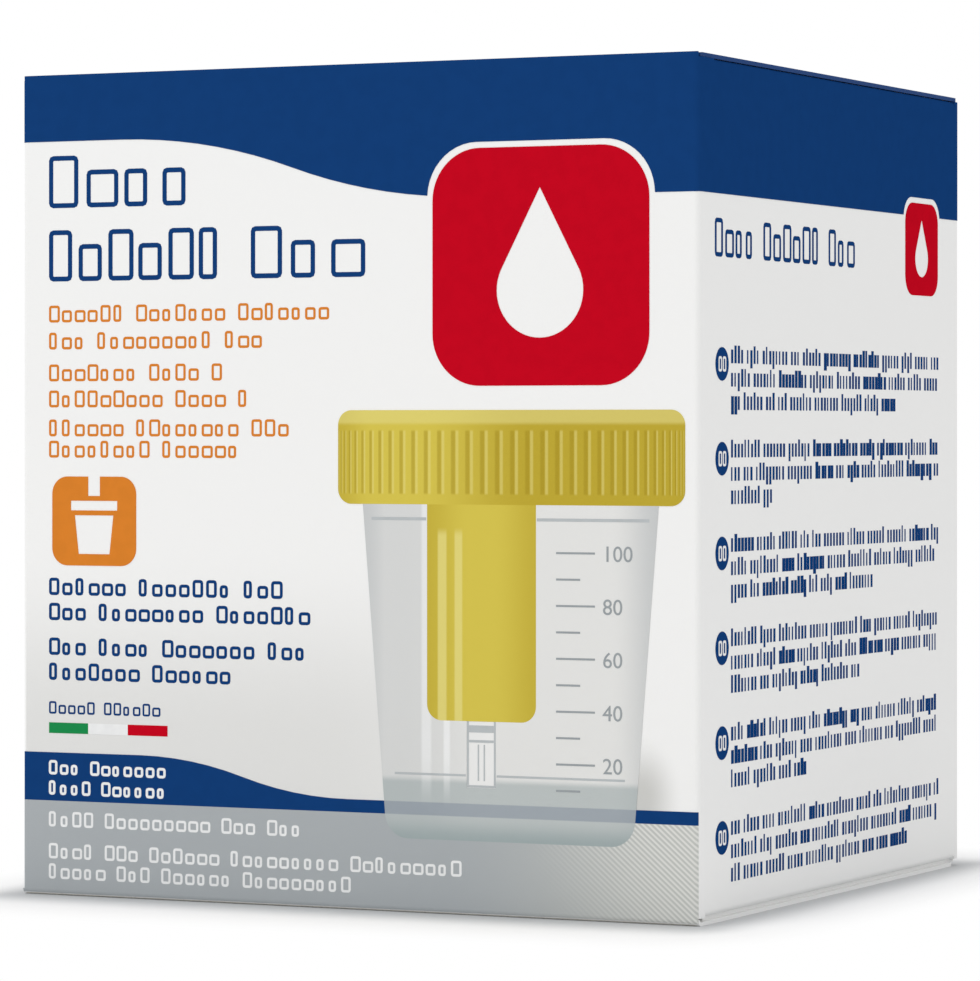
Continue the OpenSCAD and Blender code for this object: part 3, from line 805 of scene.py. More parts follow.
def join(parts: Sequence[Piece], name: str, size: float = 1.0) -> Piece:
    """Joins parts into one piece.

    Args:
        parts: The parts, the first of which takes the others in.
        name: The piece's name.
        size: What the piece is scaled by, which is MM for parts drawn in millimetres.

    Returns:
        The joined piece.
    """
    activate(parts)
    if len(parts) > 1:
        bpy.ops.object.join()
    whole = bpy.context.view_layer.objects.active
    whole.data.transform(Matrix.Scale(size, 4))
    whole.name = name
    whole.data.name = name
    return whole


def copy_to(master: Piece, matrix: Matrix) -> Piece:
    """Copies a part with a mesh of its own.

    Args:
        master: The part to copy.
        matrix: The matrix to bake into the copy's mesh.

    Returns:
        The copy.
    """
    copy = master.copy()
    copy.data = master.data.copy()
    bpy.context.scene.collection.objects.link(copy)
    copy.data.transform(matrix)
    return copy


def number_mesh(number: str, size: float, depth: float) -> Piece:
    """Makes a plain number, flat on the ground with its left end at the origin.

    Args:
        number: The digits.
        size: The type size.
        depth: How high the digits stand.

    Returns:
        The number as a closed mesh.
    """
    deselect_all()
    bpy.ops.object.text_add(location=(0, 0, 0))
    digits = bpy.context.active_object
    digits.data.body = number
    digits.data.size = size
    digits.data.extrude = depth / 2
    digits.data.resolution_u = 4
    bpy.ops.object.convert(target="MESH")
    digits = bpy.context.active_object
    digits.data.transform(Matrix.Translation((0, 0, depth / 2)))
    with editing(digits):
        face_outwards(gap=0.0005)
    return digits


def finish_piece(piece: Piece, coat: Coat, body: Body = Body.CARTON) -> None:
    """Gives a piece its finish and its body, and reports it.

    Args:
        piece: The piece, in place.
        coat: Its material and slot.
        body: The body that it moves with.
    """
    piece.data.materials.clear()
    piece.data.materials.append(coat.material)
    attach(piece, body.value)
    log.info("%s: %d faces, rides on %s", piece.name, len(piece.data.polygons), body.value)


def dress(node: str, material: Material) -> None:
    """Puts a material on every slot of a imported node.

    Args:
        node: The node's name.
        material: The material.
    """
    mesh = frame["nodes"][node].data
    if not mesh.materials:
        mesh.materials.append(material)
    for index in range(len(mesh.materials)):
        mesh.materials[index] = material
    log.info("%s dressed in %s", node, material.name)


# Print


class Panel(Enum):
    """A panel that print lies on, drawn from its lower left corner as seen from outside."""

    FRONT = "front"
    RIGHT = "right"
    BACK = "back"
    LEFT = "left"

    def matrix(self, sizes: CartonSizes, lift: float) -> Matrix:
        """Gives the matrix that stands a flat drawing on the panel.

        Args:
            sizes: The carton's sizes.
            lift: How far the drawing's ground is above the board.

        Returns:
            A matrix from millimetres on the drawing to metres in the frame.
        """
        across, corner = {
            Panel.FRONT: (Vector((1, 0, 0)), Vector((-sizes.half_w, -sizes.half_d, 0))),
            Panel.RIGHT: (Vector((0, 1, 0)), Vector((sizes.half_w, -sizes.half_d, 0))),
            Panel.BACK: (Vector((-1, 0, 0)), Vector((sizes.half_w, sizes.half_d, 0))),
            Panel.LEFT: (Vector((0, -1, 0)), Vector((-sizes.half_w, sizes.half_d, 0))),
        }[self]
        up = Vector((0, 0, 1))
        axes = (across, up, across.cross(up))
        turn = Matrix(axes).transposed().to_4x4()
        return Matrix.Scale(MM, 4) @ Matrix.Translation(corner + lift * axes[2]) @ turn


@dataclass(frozen=True)
class Line:
    """One line of small print, measured from the ground's top left corner.

    The words are the counts of their marks, and a line without them has words of any length.
    """

    left: float
    top: float
    right: float
    height: float
    pitch: float
    words: tuple[int, ...] = ()


@dataclass
class PrintSet:
    """Small print and plain marks in one ink, drawn on flat ground.

    A box is a mark's left, bottom, width and height, and lines are placed from the drawing's top.
    """

    ground: Matrix
    ink: Coat
    top: float = 0.0
    seed: int = 7
    body: Body = Body.CARTON
    thin_share: float = 0.55
    bold_share: float = 0.8
    bold_odds: float = 0.2
    low_block: float = 0.77
    low_tile: float = 0.72
    rng: random.Random = field(init=False)

    def __post_init__(self) -> None:
        """Seeds the rows of marks."""
        self.rng = random.Random(self.seed)

    def block(self) -> Piece:
        """Models the printed block that the smallest print is made of.

        Returns:
            The block, one unit wide, high and deep.
        """
        deselect_all()
        bpy.ops.mesh.primitive_cube_add(size=1, location=(0.5, 0.5, 0.5))
        block = bpy.context.active_object
        bpy.ops.object.transform_apply(location=True, rotation=True, scale=True)
        with editing(block) as mesh:
            for edge in mesh.edges:
                first, second = (vert.co for vert in edge.verts)
                edge.select_set(abs(first.z - second.z) > 0.5)
            bmesh.update_edit_mesh(block.data)
            bpy.ops.mesh.bevel(offset=0.16, segments=1, affect="EDGES")
        return block

    def tile(self, width: float, height: float, stroke: float) -> Piece:
        """Models one hollow tile, the plain stand-in for a printed character.

        Args:
            width: The tile's width.
            height: The tile's height.
            stroke: The width of its outline.

        Returns:
            The tile, its lower left corner at the origin.
        """
        tile = sheet(width, height, (width / 2, height / 2, 0))
        with editing(tile):
            bpy.ops.mesh.select_all(action="SELECT")
            bpy.ops.mesh.bevel(offset=stroke, segments=2, affect="VERTICES")
            raise_outline(stroke)
        return tile

    def slots(self, line: Line) -> Iterator[tuple[float, bool]]:
        """Walks along a line, word by word.

        Args:
            line: The line.

        Yields:
            The left end of each mark, and whether it opens a word.
        """
        at = line.left
        given = iter(line.words)
        while count := next(given, 0) if line.words else self.rng.randint(3, 9):
            for index in range(count):
                if at + line.pitch > line.right + 0.01:
                    return
                yield at, index == 0
                at += line.pitch
            at += 0.75 * line.pitch

    def block_boxes(self, line: Line) -> list[Box]:
        """Sets a line in solid blocks, for the smallest print.

        Args:
            line: The line to set.

        Returns:
            The blocks' boxes.
        """
        boxes = []
        foot = self.top - line.top - line.height
        share = self.thin_share
        for at, opens in self.slots(line):
            if opens:
                share = self.bold_share if self.rng.random() < self.bold_odds else self.thin_share
            width = line.pitch * share * self.rng.choice((0.7, 1.0, 1.0, 1.15))
            pick = self.rng.random()
            high = line.height if pick > 0.78 else self.low_block * line.height
            drop = 0.26 * line.height if pick < 0.07 else 0.0
            boxes.append((at, foot - drop, width, high + drop))
        return boxes

    def tile_boxes(self, line: Line) -> list[Box]:
        """Sets a line in hollow tiles, for larger print.

        Args:
            line: The line to set.

        Returns:
            The tiles' boxes.
        """
        boxes = []
        foot = self.top - line.top - line.height
        for at, opens in self.slots(line):
            full = opens or self.rng.random() < 0.16
            share = self.rng.choice((0.6, 0.78, 0.78, 0.84))
            boxes.append((at, foot, share * line.pitch, line.height * (1.0 if full else self.low_tile)))
        return boxes

    def add(self, name: str, parts: Sequence[Piece], masters: Sequence[Piece] = ()) -> None:
        """Joins marks into one finished piece.

        Args:
            name: The piece's name.
            parts: The marks.
            masters: What they were copied from, which is removed.
        """
        for master in masters:
            bpy.data.objects.remove(master)
        finish_piece(join(parts, name), self.ink, self.body)

    def blocks(self, name: str, boxes: Sequence[Box]) -> None:
        """Adds a piece of solid blocks.

        Args:
            name: The piece's name.
            boxes: The blocks' boxes.
        """
        master = self.block()
        parts = [
            copy_to(master, self.ground @ Matrix.Translation((x, y, 0)) @ Matrix.Diagonal((w, h, FILM, 1)))
            for x, y, w, h in boxes
        ]
        self.add(name, parts, [master])

    def tiles(self, name: str, boxes: Sequence[Box], stroke: float) -> None:
        """Adds a piece of hollow tiles.

        Args:
            name: The piece's name.
            boxes: The tiles' boxes.
            stroke: The width of the tiles' outline.
        """
        masters: dict[tuple[float, float], Piece] = {}
        parts = []
        for x, y, width, height in boxes:
            size = (round(width, 2), round(height, 2))
            if size not in masters:
                masters[size] = self.tile(*size, stroke)
            parts.append(copy_to(masters[size], self.ground @ Matrix.Translation((x, y, 0))))
        self.add(name, parts, list(masters.values()))

    def block_lines(self, name: str, lines: Sequence[Line]) -> None:
        """Adds a piece of lines that are set in solid blocks."""
        self.blocks(name, [box for line in lines for box in self.block_boxes(line)])

    def tile_lines(self, name: str, lines: Sequence[Line], stroke: float) -> None:
        """Adds a piece of lines that are set in hollow tiles."""
        self.tiles(name, [box for line in lines for box in self.tile_boxes(line)], stroke)

    def numbers(self, name: str, numbers: Sequence[tuple[str, float, float]], size: float) -> None:
        """Adds a piece of plain numbers.

        Args:
            name: The piece's name.
            numbers: Each number with its left end and its foot.
            size: The numbers' type size.
        """
        parts = []
        for number, x, y in numbers:
            part = number_mesh(number, size, FILM)
            part.data.transform(self.ground @ Matrix.Translation((x, y, 0)))
            parts.append(part)
        self.add(name, parts)


@dataclass
class PanelPrint:
    """What the fine print of every panel shares."""

    sizes: CartonSizes
    inks: Inks
    panel: Panel

    def marks(self, ink: Coat, lift: float = 0.0, seed: int = 7) -> PrintSet:
        """Starts a set of print on the panel."""
        return PrintSet(self.panel.matrix(self.sizes, lift), ink, self.sizes.height, seed)

    def small_title(self, marks: PrintSet, left: float, top: float, right: float) -> None:
        """Adds the row of tiles that stands for the title of a side or back panel."""
        line = Line(left, top, right, height=3.8, pitch=2.62, words=(4, 6, 3))
        marks.tile_lines(f"{self.panel.value}_title", [line], stroke=0.44)


class Column(NamedTuple):
    """Lines of tiles that start at the margin, each given by its top and its right end."""

    name: str
    ink: Coat
    height: float
    stroke: float
    seed: int
    lift: float
    rows: tuple[tuple[float, float], ...]


@dataclass
class FrontPrint(PanelPrint):
    """Everything fine that is printed on the front panel."""

    panel: Panel = Panel.FRONT
    margin: float = 3.2
    stripe_top: float = 68.2
    stripe_part: tuple[float, float] = (4.7, 1.1)
    mark_foot: float = 12.6
    mark_step: float = 2.6
    long_mark: float = 4.2
    short_mark: float = 2.6
    tip_half: float = 1.58

    def title(self) -> None:
        """Adds the large tiles that stand for the title."""
        words = [
            Line(self.margin, 8.4, 21.2, 5.4, 4.5, (4,)),
            Line(self.margin, 16.1, 24.6, 5.3, 3.55, (6,)),
            Line(27.0, 16.1, 40.9, 5.3, 4.6, (3,)),
        ]
        self.marks(self.inks.blue).tile_lines("front_title", words, stroke=0.5)

    def text(self) -> None:
        """Adds the columns of text."""
        inks = self.inks
        columns = (
            Column("front_text_orange", inks.orange, 1.75, 0.26, 11, 0.0,
                   ((23.9, 38), (26.7, 31), (30.0, 25), (32.7, 27.6), (35.7, 32), (37.9, 27))),
            Column("front_text_blue", inks.blue, 1.8, 0.32, 12, 0.0,
                   ((52.1, 33.5), (54.7, 34.3), (58.3, 34.5), (60.9, 26.7))),
            Column("front_origin_blue", inks.blue, 1.3, 0.2, 13, 0.0, ((64.9, 17.2),)),
            Column("front_text_white", inks.white, 1.5, 0.28, 14, OVERPRINT, ((71.0, 18.4), (73.1, 18))),
            Column("front_foot_white", inks.white, 1.6, 0.26, 15, OVERPRINT,
                   ((76.3, 33.5), (79.6, 52), (81.7, 39))),
        )
        for name, ink, height, stroke, seed, lift, rows in columns:
            lines = [Line(self.margin, top, right, height, 0.88 * height) for top, right in rows]
            self.marks(ink, lift, seed).tile_lines(name, lines, stroke)

    def stripe(self) -> None:
        """Adds the little stripe in three colours."""
        wide, high = self.stripe_part
        parts = {"green": self.inks.green, "white": self.inks.white, "red": self.inks.red}
        for index, (name, ink) in enumerate(parts.items()):
            box = (self.margin + index * wide, self.sizes.height - self.stripe_top, wide, high)
            self.marks(ink).blocks(f"front_stripe_{name}", [box])

    def scale(self) -> None:
        """Adds the graduation on the pictured cup: long and short marks in turn."""
        low, high = box_mm("print_clear")
        left = low.x + self.sizes.half_w + 0.66 * (high.x - low.x)
        boxes = []
        numbers = []
        for index in range(10):
            foot = self.mark_foot + self.mark_step * index
            boxes.append((left, foot, self.long_mark if index % 2 else self.short_mark, 0.2))
            if index % 2:
                numbers.append((str(10 * (index + 1)), left + 5.0, foot - 0.7))
        marks = self.marks(self.inks.mark, OVERPRINT)
        marks.blocks("picture_scale", boxes)
        marks.numbers("picture_numbers", numbers, size=2.2)

    def picture_lines(self) -> None:
        """Adds the pale lines of the pictured tip, and of the cup's base and rim on both sides of it."""
        low, high = box_mm("print_clear")
        middle = self.sizes.half_w + (low.x + high.x) / 2
        tip = middle - HOLDER_OFFSET
        half = self.tip_half
        walls = [(-half, 12.98, 0.2, 6.3), (half - 0.2, 12.98, 0.2, 6.3)]
        bore = [(-0.4, 13.4, 0.15, 3.6), (0.25, 13.4, 0.15, 3.6)]
        across = [(-1.35, 18.2, 2.7, 0.7), (-1.35, 17.2, 2.7, 0.25), (-half, 12.74, 2 * half, 0.22)]
        lines = [(tip + x, y, wide, tall) for x, y, wide, tall in walls + bore + across]
        self.marks(self.inks.haze).blocks("picture_tip_lines", lines)
        rings = []
        for foot, reach, gap, stroke in ((low.z + 6.4, 12.6, 1.7, 0.22), (high.z - 1.6, 15.2, 6.1, 0.3)):
            left, right = middle - reach, middle + reach
            rings.append((left, foot, tip - gap - left, stroke))
            rings.append((tip + gap, foot, right - tip - gap, stroke))
        self.marks(self.inks.haze, OVERPRINT).blocks("picture_ring_lines", rings)

    def build(self) -> None:
        """Adds the panel's title, text, stripe and scale, and the picture's lines."""
        self.title()
        self.text()
        self.stripe()
        self.scale()
        self.picture_lines()


@dataclass
class SidePrint(PanelPrint):
    """Everything fine that is printed on a side panel."""

    seed: int = 21
    discs: bool = True
    column_left: float = 7.9
    column_right: float = 66.9
    row_gap: float = 2.3
    cap_height: float = 1.75
    first_rise: float = 1.85
    disc_x: float = 5.6
    disc_foot: float = 8.2
    disc_step: float = 9.3
    mark_size: tuple[float, float] = (0.85, 1.5)
    mark_gap: float = 0.2
    ends: tuple[float, ...] = (54.2, 19.3, 47.1, 43.2, 28.0, 57.0)

    def tops(self) -> list[float]:
        """Gives the top of each paragraph, a little above its blue disc's centre."""
        middles = [self.disc_foot + self.disc_step * index for index in range(len(self.ends))]
        return [self.sizes.height - middle - self.first_rise for middle in reversed(middles)]

    def build(self) -> None:
        """Adds the panel's title and its six paragraphs, with a mark on each disc."""
        self.small_title(self.marks(self.inks.blue), 3.8, 16.0, 44.0)
        lines = [
            Line(self.column_left, top + row * self.row_gap, right, self.cap_height, 0.86)
            for top, end in zip(self.tops(), self.ends)
            for row, right in enumerate((self.column_right, self.column_right, end))
        ]
        self.marks(self.inks.blue, seed=self.seed).block_lines(f"{self.panel.value}_text", lines)
        if not self.discs:
            return
        wide, high = self.mark_size
        boxes = [
            (left, self.sizes.height - top - self.first_rise - high / 2, wide, high)
            for top in self.tops()
            for left in (self.disc_x - self.mark_gap / 2 - wide, self.disc_x + self.mark_gap / 2)
        ]
        self.marks(self.inks.white, OVERPRINT).tiles("disc_marks", boxes, stroke=0.24)


@dataclass
class BackPrint(PanelPrint):
    """Plain print for the back panel, which the photograph doesn't show."""

    panel: Panel = Panel.BACK
    margin: float = 4.5
    row_gap: float = 2.36
    ends: tuple[float, ...] = (71.2, 70.4, 45.0, 69.6, 71.2, 52.0, 71.0, 70.0, 33.0)
    field_foot: float = 6.0
    rule_rises: tuple[float, ...] = (4.5, 8.5, 12.5)
    symbol_side: float = 5.0
    symbol_step: float = 6.4
    symbol_foot: float = 25.5
    fillings: tuple[tuple[float, float], ...] = ((2.4, 2.4), (0.8, 3.2), (3.0, 1.0), (1.6, 2.8))
    bars: Box = (46.0, 7.5, 25.0, 13.0)

    def build(self) -> None:
        """Adds a title, three paragraphs, a ruled empty field, a row of symbols and a row of bars."""
        marks = self.marks(self.inks.blue, seed=41)
        self.small_title(marks, self.margin, 18.0, 44.7)
        lines = [
            Line(self.margin, 25.5 + self.row_gap * row + 2.0 * (row // 3), right, 1.5, 0.86)
            for row, right in enumerate(self.ends)
        ]
        marks.block_lines("back_text", lines)
        lefts = [self.margin + self.symbol_step * index for index in range(len(self.fillings))]
        side = self.symbol_side
        symbols = [(left, self.symbol_foot, side, side) for left in lefts]
        marks.tiles("back_frames", [(self.margin, self.field_foot, 31.0, 16.0)] + symbols, stroke=0.25)
        boxes = [(self.margin + 1.5, self.field_foot + rise, 28.0, 0.15) for rise in self.rule_rises]
        middle_z = self.symbol_foot + side / 2
        for left, (wide, high) in zip(lefts, self.fillings):
            boxes.append((left + side / 2 - wide / 2, middle_z - high / 2, wide, high))
        at, foot, reach, tall = self.bars
        end = at + reach
        while at < end:
            wide = marks.rng.choice((0.25, 0.25, 0.5, 0.75))
            boxes.append((at, foot, wide, tall))
            at += wide + marks.rng.choice((0.25, 0.3, 0.5, 0.75))
        marks.blocks("back_marks", boxes)


# Sub-assemblies


@dataclass
class Carton:
    """The folded board with its print, and the crease over the lid's hinge."""

    sizes: CartonSizes
    inks: Inks
    crease_segments: int = 10
    crease_reach: float = 0.55
    crease_skin: float = 0.03
    crease_inset: float = 0.25

    def dress_parts(self) -> None:
        """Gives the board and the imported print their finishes."""
        dress("carton", BoardFinish(self.sizes).material("coated_board"))
        dress("carton_lid", LidFinish(self.sizes).material("coated_board_lid"))
        for node, ink in (("print_blue", self.inks.blue), ("lid_print", self.inks.blue),
                          ("print_red", self.inks.red), ("print_orange", self.inks.orange)):
            dress(node, ink.material)
        field_ink = HatchedField(srgb("AAAFB2"), half_w=self.sizes.half_w)
        dress("print_grey", field_ink.material("ink_hatched_grey"))
        (cup_low, cup_high), (cap_low, cap_high) = box_mm("print_clear"), box_mm("print_yellow")
        glaze = PictureGlaze(srgb("E2E2E0"), middle=(cup_low.x + cup_high.x) / 2,
                             half_width=(cup_high.x - cup_low.x) / 2, foot=cup_low.z)
        dress("print_clear", glaze.material("ink_picture_glaze"))
        cap = PictureCap(srgb("D3C150"), middle=(cap_low.x + cap_high.x) / 2,
                         half_width=(cap_high.x - cap_low.x) / 2, cap_foot=cup_high.z, cap_top=cap_high.z)
        dress("print_yellow", cap.material("ink_picture_cap"))

    def crease(self) -> None:
        """Adds the printed skin that bends over the hinge, from the back panel onto the lid."""
        joint = next(j for j in frame["joints"] if j["child"] == Body.LID.value)
        axis_y, axis_z = (value / MM for value in joint["pos_m"][1:])
        gap = 0.05
        radius = self.sizes.half_d + gap - axis_y
        reach, skin = self.crease_reach, self.crease_skin
        half = box_mm("lid_print")[1].x - self.crease_inset
        strip = sheet(2 * half, skin, (0, axis_y + radius + skin / 2, axis_z - reach))
        with editing(strip):
            bpy.ops.mesh.select_all(action="SELECT")
            extrude(0, 0, reach)
            bpy.ops.mesh.spin(steps=self.crease_segments, angle=-math.pi / 2,
                              center=(0, axis_y, axis_z), axis=(1, 0, 0))
            extrude(0, -reach, 0)
            face_outwards()
        strip = join([strip], "crease_skin", MM)
        strip.data.materials.append(self.inks.blue.material)
        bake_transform(strip)
        log.info("crease_skin: %d faces, bends between carton and lid", len(strip.data.polygons))

    def build(self) -> None:
        """Dresses the board and adds its fine print."""
        self.dress_parts()
        self.crease()
        FrontPrint(self.sizes, self.inks).build()
        SidePrint(self.sizes, self.inks, Panel.RIGHT).build()
        SidePrint(self.sizes, self.inks, Panel.LEFT, seed=51, discs=False, column_left=3.8).build()
        BackPrint(self.sizes, self.inks).build()


@dataclass
class Container:
    """The cup, its cap and the transfer device."""

    inks: Inks
    cup_foot_z: float = 1.14
    base_top: float = 3.2
    foot_radius: float = 24.9
    taper: float = 4.3 / 54.4
    wall: float = 1.1
    thread_drop: float = 9.5
    thread_pitch: float = 3.2
    thread_turns: float = 1.4
    thread_depth: float = 0.85
    thread_width: float = 1.5
    thread_crest: float = 0.45
    thread_sink: float = 0.1
    mark_end_deg: float = -49.5
    number_size: float = 4.2
    number_depth: float = 0.3
    number_sink: float = 0.06
    rule_count: int = 5
    rule_sweep_deg: float = 118
    rule_width: float = 0.24
    label_radius: float = 26.0
    row_count: int = 8
    row_gap: float = 2.9
    band_edge: float = 16.5

    def dress_parts(self) -> None:
        """Gives the container's nodes their finishes."""
        film = LabelFilm(srgb("EDEDEB")).material("label_film_white")
        rubber = Moulded(srgb("6E7175"), roughness=0.7, grain=Grain(0.3), relief=0.02)
        for node, material in (
            ("cup", ClearMoulded(srgb("F1F5F7")).material("clear_polypropylene")),
            ("screw_cap", Moulded(srgb("E2BE1D")).material("yellow_polyethylene")),
            ("suction_tip", MilkyMoulded(srgb("EEF1F2")).material("milky_polypropylene")),
            ("needle", GroundSteel(srgb("C6C8CA")).material("ground_stainless_tube")),
            ("needle_sleeve", rubber.material("grey_rubber")),
            ("cap_label", film),
            ("writing_label", film),
        ):
            dress(node, material)

    def cup_coat(self) -> Coat:
        """Gives the cup's own plastic for what is moulded on it."""
        return Coat(frame["nodes"]["cup"].data.materials[0], Slot.CLEAR_PLASTIC)

    def neck_thread(self) -> None:
        """Adds the cup's thread, which the cap hides."""
        high = box_mm("cup")[1]
        radius, start_z = high.x, high.z - self.thread_drop
        middle = (radius + self.thread_depth / 2 - self.thread_sink, 0, start_z)
        thread = sheet(self.thread_depth + 2 * self.thread_sink, self.thread_width, middle, upright=True)
        with editing(thread) as mesh:
            for vert in mesh.verts:
                if vert.co.x > radius:
                    vert.co.z = start_z + self.thread_crest * (vert.co.z - start_z)
            bmesh.update_edit_mesh(thread.data)
        screw = thread.modifiers.new("thread", "SCREW")
        screw.angle = 2 * math.pi * self.thread_turns
        screw.screw_offset = self.thread_pitch * self.thread_turns
        screw.steps = screw.render_steps = 120
        activate([thread])
        bpy.ops.object.modifier_apply(modifier=screw.name)
        with editing(thread):
            face_outwards(gap=0.0001)
        finish_piece(join([thread], "neck_thread", MM), self.cup_coat())

    def fill_height(self, millilitres: float) -> float:
        """Finds how high a volume fills the tapered cup.

        Args:
            millilitres: The volume.

        Returns:
            The height in the frame.
        """
        base = self.cup_foot_z + self.base_top
        inner = self.foot_radius + self.taper * self.base_top - self.wall
        cube = inner ** 3 + 3 * self.taper * 1000 * millilitres / math.pi
        return base + (cube ** (1 / 3) - inner) / self.taper

    def numbers(self) -> None:
        """Adds the raised numbers beside the cup's long marks, bent round the tapered wall."""
        start = math.radians(self.mark_end_deg)
        parts = []
        for volume in range(20, 101, 20):
            part = number_mesh(str(volume), self.number_size, self.number_depth)
            foot = self.fill_height(volume) - 1.5
            for vert in part.data.vertices:
                across, up, proud = vert.co
                z = foot + up
                radius = self.foot_radius + self.taper * (z - self.cup_foot_z)
                angle = start + across / radius
                reach = radius + proud - self.number_sink
                vert.co = (reach * math.cos(angle), reach * math.sin(angle), z)
            parts.append(part)
        finish_piece(join(parts, "cup_numbers", MM), self.cup_coat())

    def writing_rules(self) -> None:
        """Adds the thin rules on the writing label, each an arc round the cup."""
        low, high = box_mm("writing_label")
        top_radius, foot_radius = high.y, high.y - self.taper * (high.z - low.z)
        sweep = math.radians(self.rule_sweep_deg)
        parts = []
        for index in range(self.rule_count):
            share = (index + 1) / (self.rule_count + 1)
            z = low.z + share * (high.z - low.z)
            radius = foot_radius + share * (top_radius - foot_radius) + FILM
            rule = sheet(2 * FILM, self.rule_width, (radius, 0, z), upright=True)
            rule.data.transform(Matrix.Rotation(math.pi / 2 - sweep / 2, 4, "Z"))
            with editing(rule):
                bpy.ops.mesh.select_all(action="SELECT")
                bpy.ops.mesh.spin(steps=48, angle=-sweep, center=(0, 0, 0), axis=(0, 0, 1))
                face_outwards()
            parts.append(rule)
        finish_piece(join(parts, "writing_rules", MM), self.inks.blue)

    def label_ring(self, name: str, middle: tuple[float, float], radius: float, stroke: float,
                   ink: Coat) -> None:
        """Adds a printed ring on the cap's label.

        Args:
            name: The piece's name.
            middle: The ring's middle.
            radius: Its outside radius.
            stroke: Its width.
            ink: Its ink.
        """
        ring = disc(radius, (*middle, box_mm("cap_label")[1].z))
        with editing(ring):
            raise_outline(stroke)
        finish_piece(join([ring], name, MM), ink, Body.CAP)

    def label_band(self) -> None:
        """Adds the blue field at the far side of the cap's label, cut from a disc."""
        high = box_mm("cap_label")[1]
        # Half sunk in the label: the ring is printed over it, and level faces would render black.
        band = disc(high.x - 0.4, (0, 0, high.z - FILM / 2))
        with editing(band):
            bpy.ops.mesh.select_all(action="SELECT")
            bpy.ops.mesh.bisect(plane_co=(0, self.band_edge, 0), plane_no=(0, 1, 0), clear_inner=True)
            raise_film()
        finish_piece(join([band], "cap_label_band", MM), self.inks.blue, Body.CAP)

    def label_rows(self) -> None:
        """Adds the rows of small print across the cap's label."""
        ground = Matrix.Scale(MM, 4) @ Matrix.Translation((0, 0, box_mm("cap_label")[1].z))
        lines = []
        for row in range(self.row_count):
            y = 3.0 - self.row_gap * row
            half = math.sqrt(self.label_radius ** 2 - y * y) - 1.5
            lines.append(Line(-half, -y, half, 1.5, 1.15))
        PrintSet(ground, self.inks.blue, seed=31, body=Body.CAP).block_lines("cap_label_rows", lines)

    def build(self) -> None:
        """Dresses the container and adds its thread, numbers and print."""
        self.dress_parts()
        self.neck_thread()
        self.numbers()
        self.writing_rules()
        self.label_band()
        self.label_ring("cap_label_edge", (0, 0), 29.9, 0.7, self.inks.blue)
        self.label_ring("cap_label_mark", (-14.5, 9.6), 4.6, 0.9, self.inks.red)
        self.label_rows()


# Stage


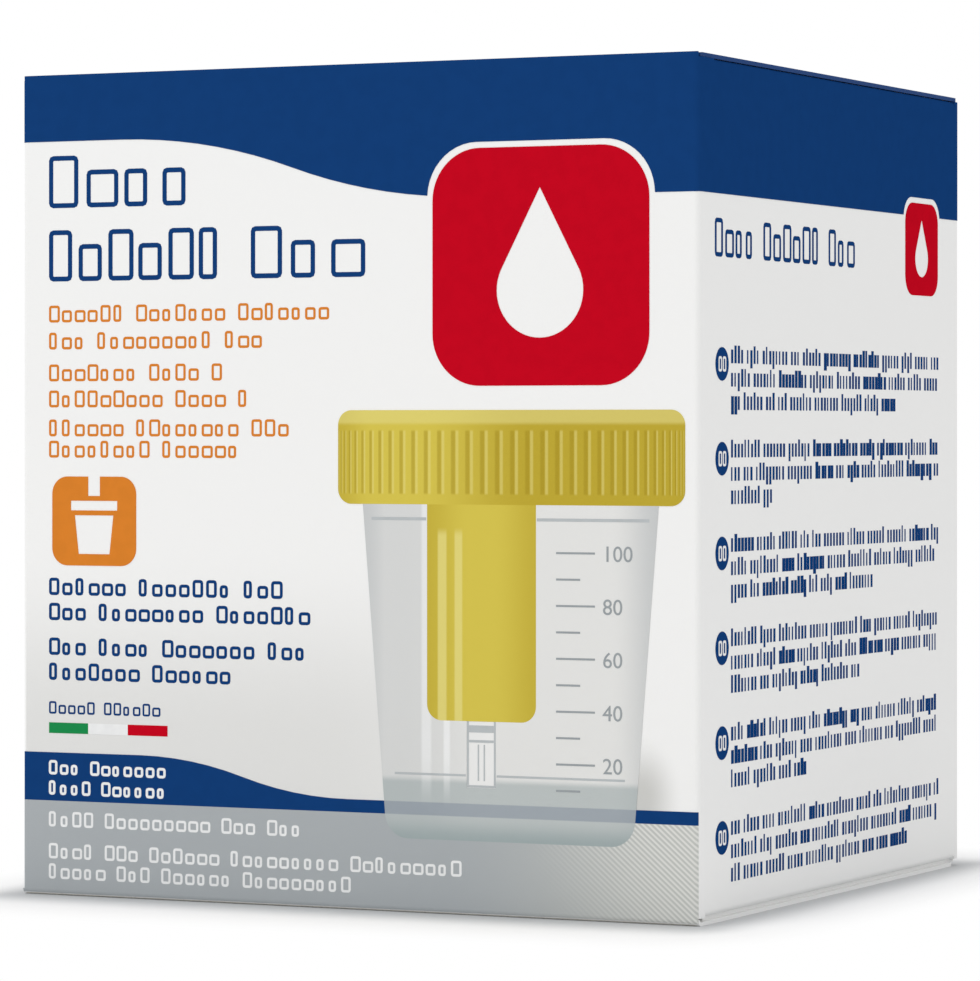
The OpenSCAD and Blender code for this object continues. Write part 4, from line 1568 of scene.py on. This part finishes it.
@dataclass
class Studio:
    """A white floor with painted contact shade near the carton, plain soft light and the photograph's camera.
    """

    floor_size: float = 12.0
    # Painted contact shade: the floor's colour next to the carton, and how far it reaches.
    floor_near: Colour = (0.58, 0.59, 0.6)
    floor_far: Colour = (0.97, 0.97, 0.97)
    footprint_mm: tuple[float, float] = (38.25, 36.5)
    contact_mm: float = 7.0
    shadow_mm: float = 15.0
    ambient: float = 0.865
    key_place: tuple[float, float, float] = (-0.55, -0.9, 0.75)
    key_aim: tuple[float, float, float] = (0, 0, 0.04)
    key_size: float = 0.9
    key_strength: float = 2.6
    focal_px: float = 4740.65
    frame_px: tuple[int, int] = (980, 981)
    centre_row_px: float = 429.36
    distance: float = 0.50944
    sideways: float = -0.001676
    eye_height: float = 0.048277
    turn_deg: float = 25.689
    sensor_mm: float = 36.0

    def floor(self) -> None:
        """Adds the floor, with painted contact shade in its colour next to the carton, which fades to plain
        white away from the carton.
        """
        deselect_all()
        bpy.ops.mesh.primitive_plane_add(size=self.floor_size, location=(0, 0, 0))
        floor = bpy.context.active_object
        floor.name = "studio_floor"
        g = Graph(bpy.data.materials.new("studio_floor_white"))
        x, y, _ = g.place()
        across = (abs(x) - self.footprint_mm[0]).most(0)
        along = (abs(y) - self.footprint_mm[1]).most(0) * 0.65
        off = (across * across + along * along).root()
        # Painted contact shade: the floor's colour darkens towards the carton's footprint, deepening the
        # rendered shadow there.
        tone = g.blend(off.ramp(0, self.contact_mm), self.floor_near, self.floor_far)
        matt = g.node("ShaderNodeBsdfDiffuse", None, {"Color": tone})
        glow = g.node("ShaderNodeEmission", None, {"Color": (1, 1, 1, 1), "Strength": 1.0})
        factor = g.seen() * off.ramp(0, self.shadow_mm)
        mixed = g.node("ShaderNodeMixShader", None, {0: factor, 1: matt.outputs[0], 2: glow.outputs[0]})
        g.node("ShaderNodeOutputMaterial", None, {0: mixed.outputs[0]})
        floor.data.materials.append(g.owner)

    def world(self) -> None:
        """Makes the surround: white to look at, a little weaker as light."""
        world = bpy.data.worlds.new("studio_surround")
        bpy.context.scene.world = world
        g = Graph(world)
        ends = {"Value": g.seen(), "To Min": self.ambient, "To Max": 1.0}
        strength = g.node("ShaderNodeMapRange", None, ends).outputs["Result"]
        back = g.node("ShaderNodeBackground", None, {"Color": (1, 1, 1, 1), "Strength": strength})
        g.node("ShaderNodeOutputWorld", None, {0: back.outputs[0]})

    def key_light(self) -> None:
        """Adds one large soft lamp, in front of the wide panel and a little above."""
        deselect_all()
        bpy.ops.object.light_add(type="AREA", location=self.key_place)
        lamp = bpy.context.active_object
        lamp.name = "studio_key"
        lamp.data.shape = "DISK"
        lamp.data.size = self.key_size
        lamp.data.energy = self.key_strength
        aim = Vector(self.key_aim) - lamp.location
        lamp.rotation_euler = aim.to_track_quat("-Z", "Y").to_euler()

    def camera(self) -> None:
        """Adds the camera, level, at the place that the carton's corners in the photograph give."""
        turn = math.radians(self.turn_deg)
        back = Vector((math.sin(turn), -math.cos(turn), 0))
        right = Vector((math.cos(turn), math.sin(turn), 0))
        eye = back * self.distance + right * self.sideways + Vector((0, 0, self.eye_height))
        deselect_all()
        bpy.ops.object.camera_add(location=eye)
        camera = bpy.context.active_object
        camera.name = "studio_camera"
        camera.rotation_euler = (-back).to_track_quat("-Z", "Y").to_euler()
        long_side = max(self.frame_px)
        camera.data.sensor_width = self.sensor_mm
        camera.data.lens = self.focal_px / long_side * self.sensor_mm
        camera.data.shift_y = (self.centre_row_px - self.frame_px[1] / 2) / long_side
        camera.data.clip_start = 0.01
        bpy.context.scene.camera = camera

    def build(self) -> None:
        """Sets the stage and the colour view."""
        self.floor()
        self.world()
        self.key_light()
        self.camera()
        bpy.context.scene.view_settings.view_transform = "Standard"


def main() -> None:
    """Builds the stage, the carton and the container in turn."""
    logging.basicConfig(level=logging.INFO, format="%(name)s: %(message)s")
    Studio().build()
    inks = Inks()
    Carton(CartonSizes.from_frame(), inks).build()
    Container(inks).build()


if __name__ == "__main__":
    main()
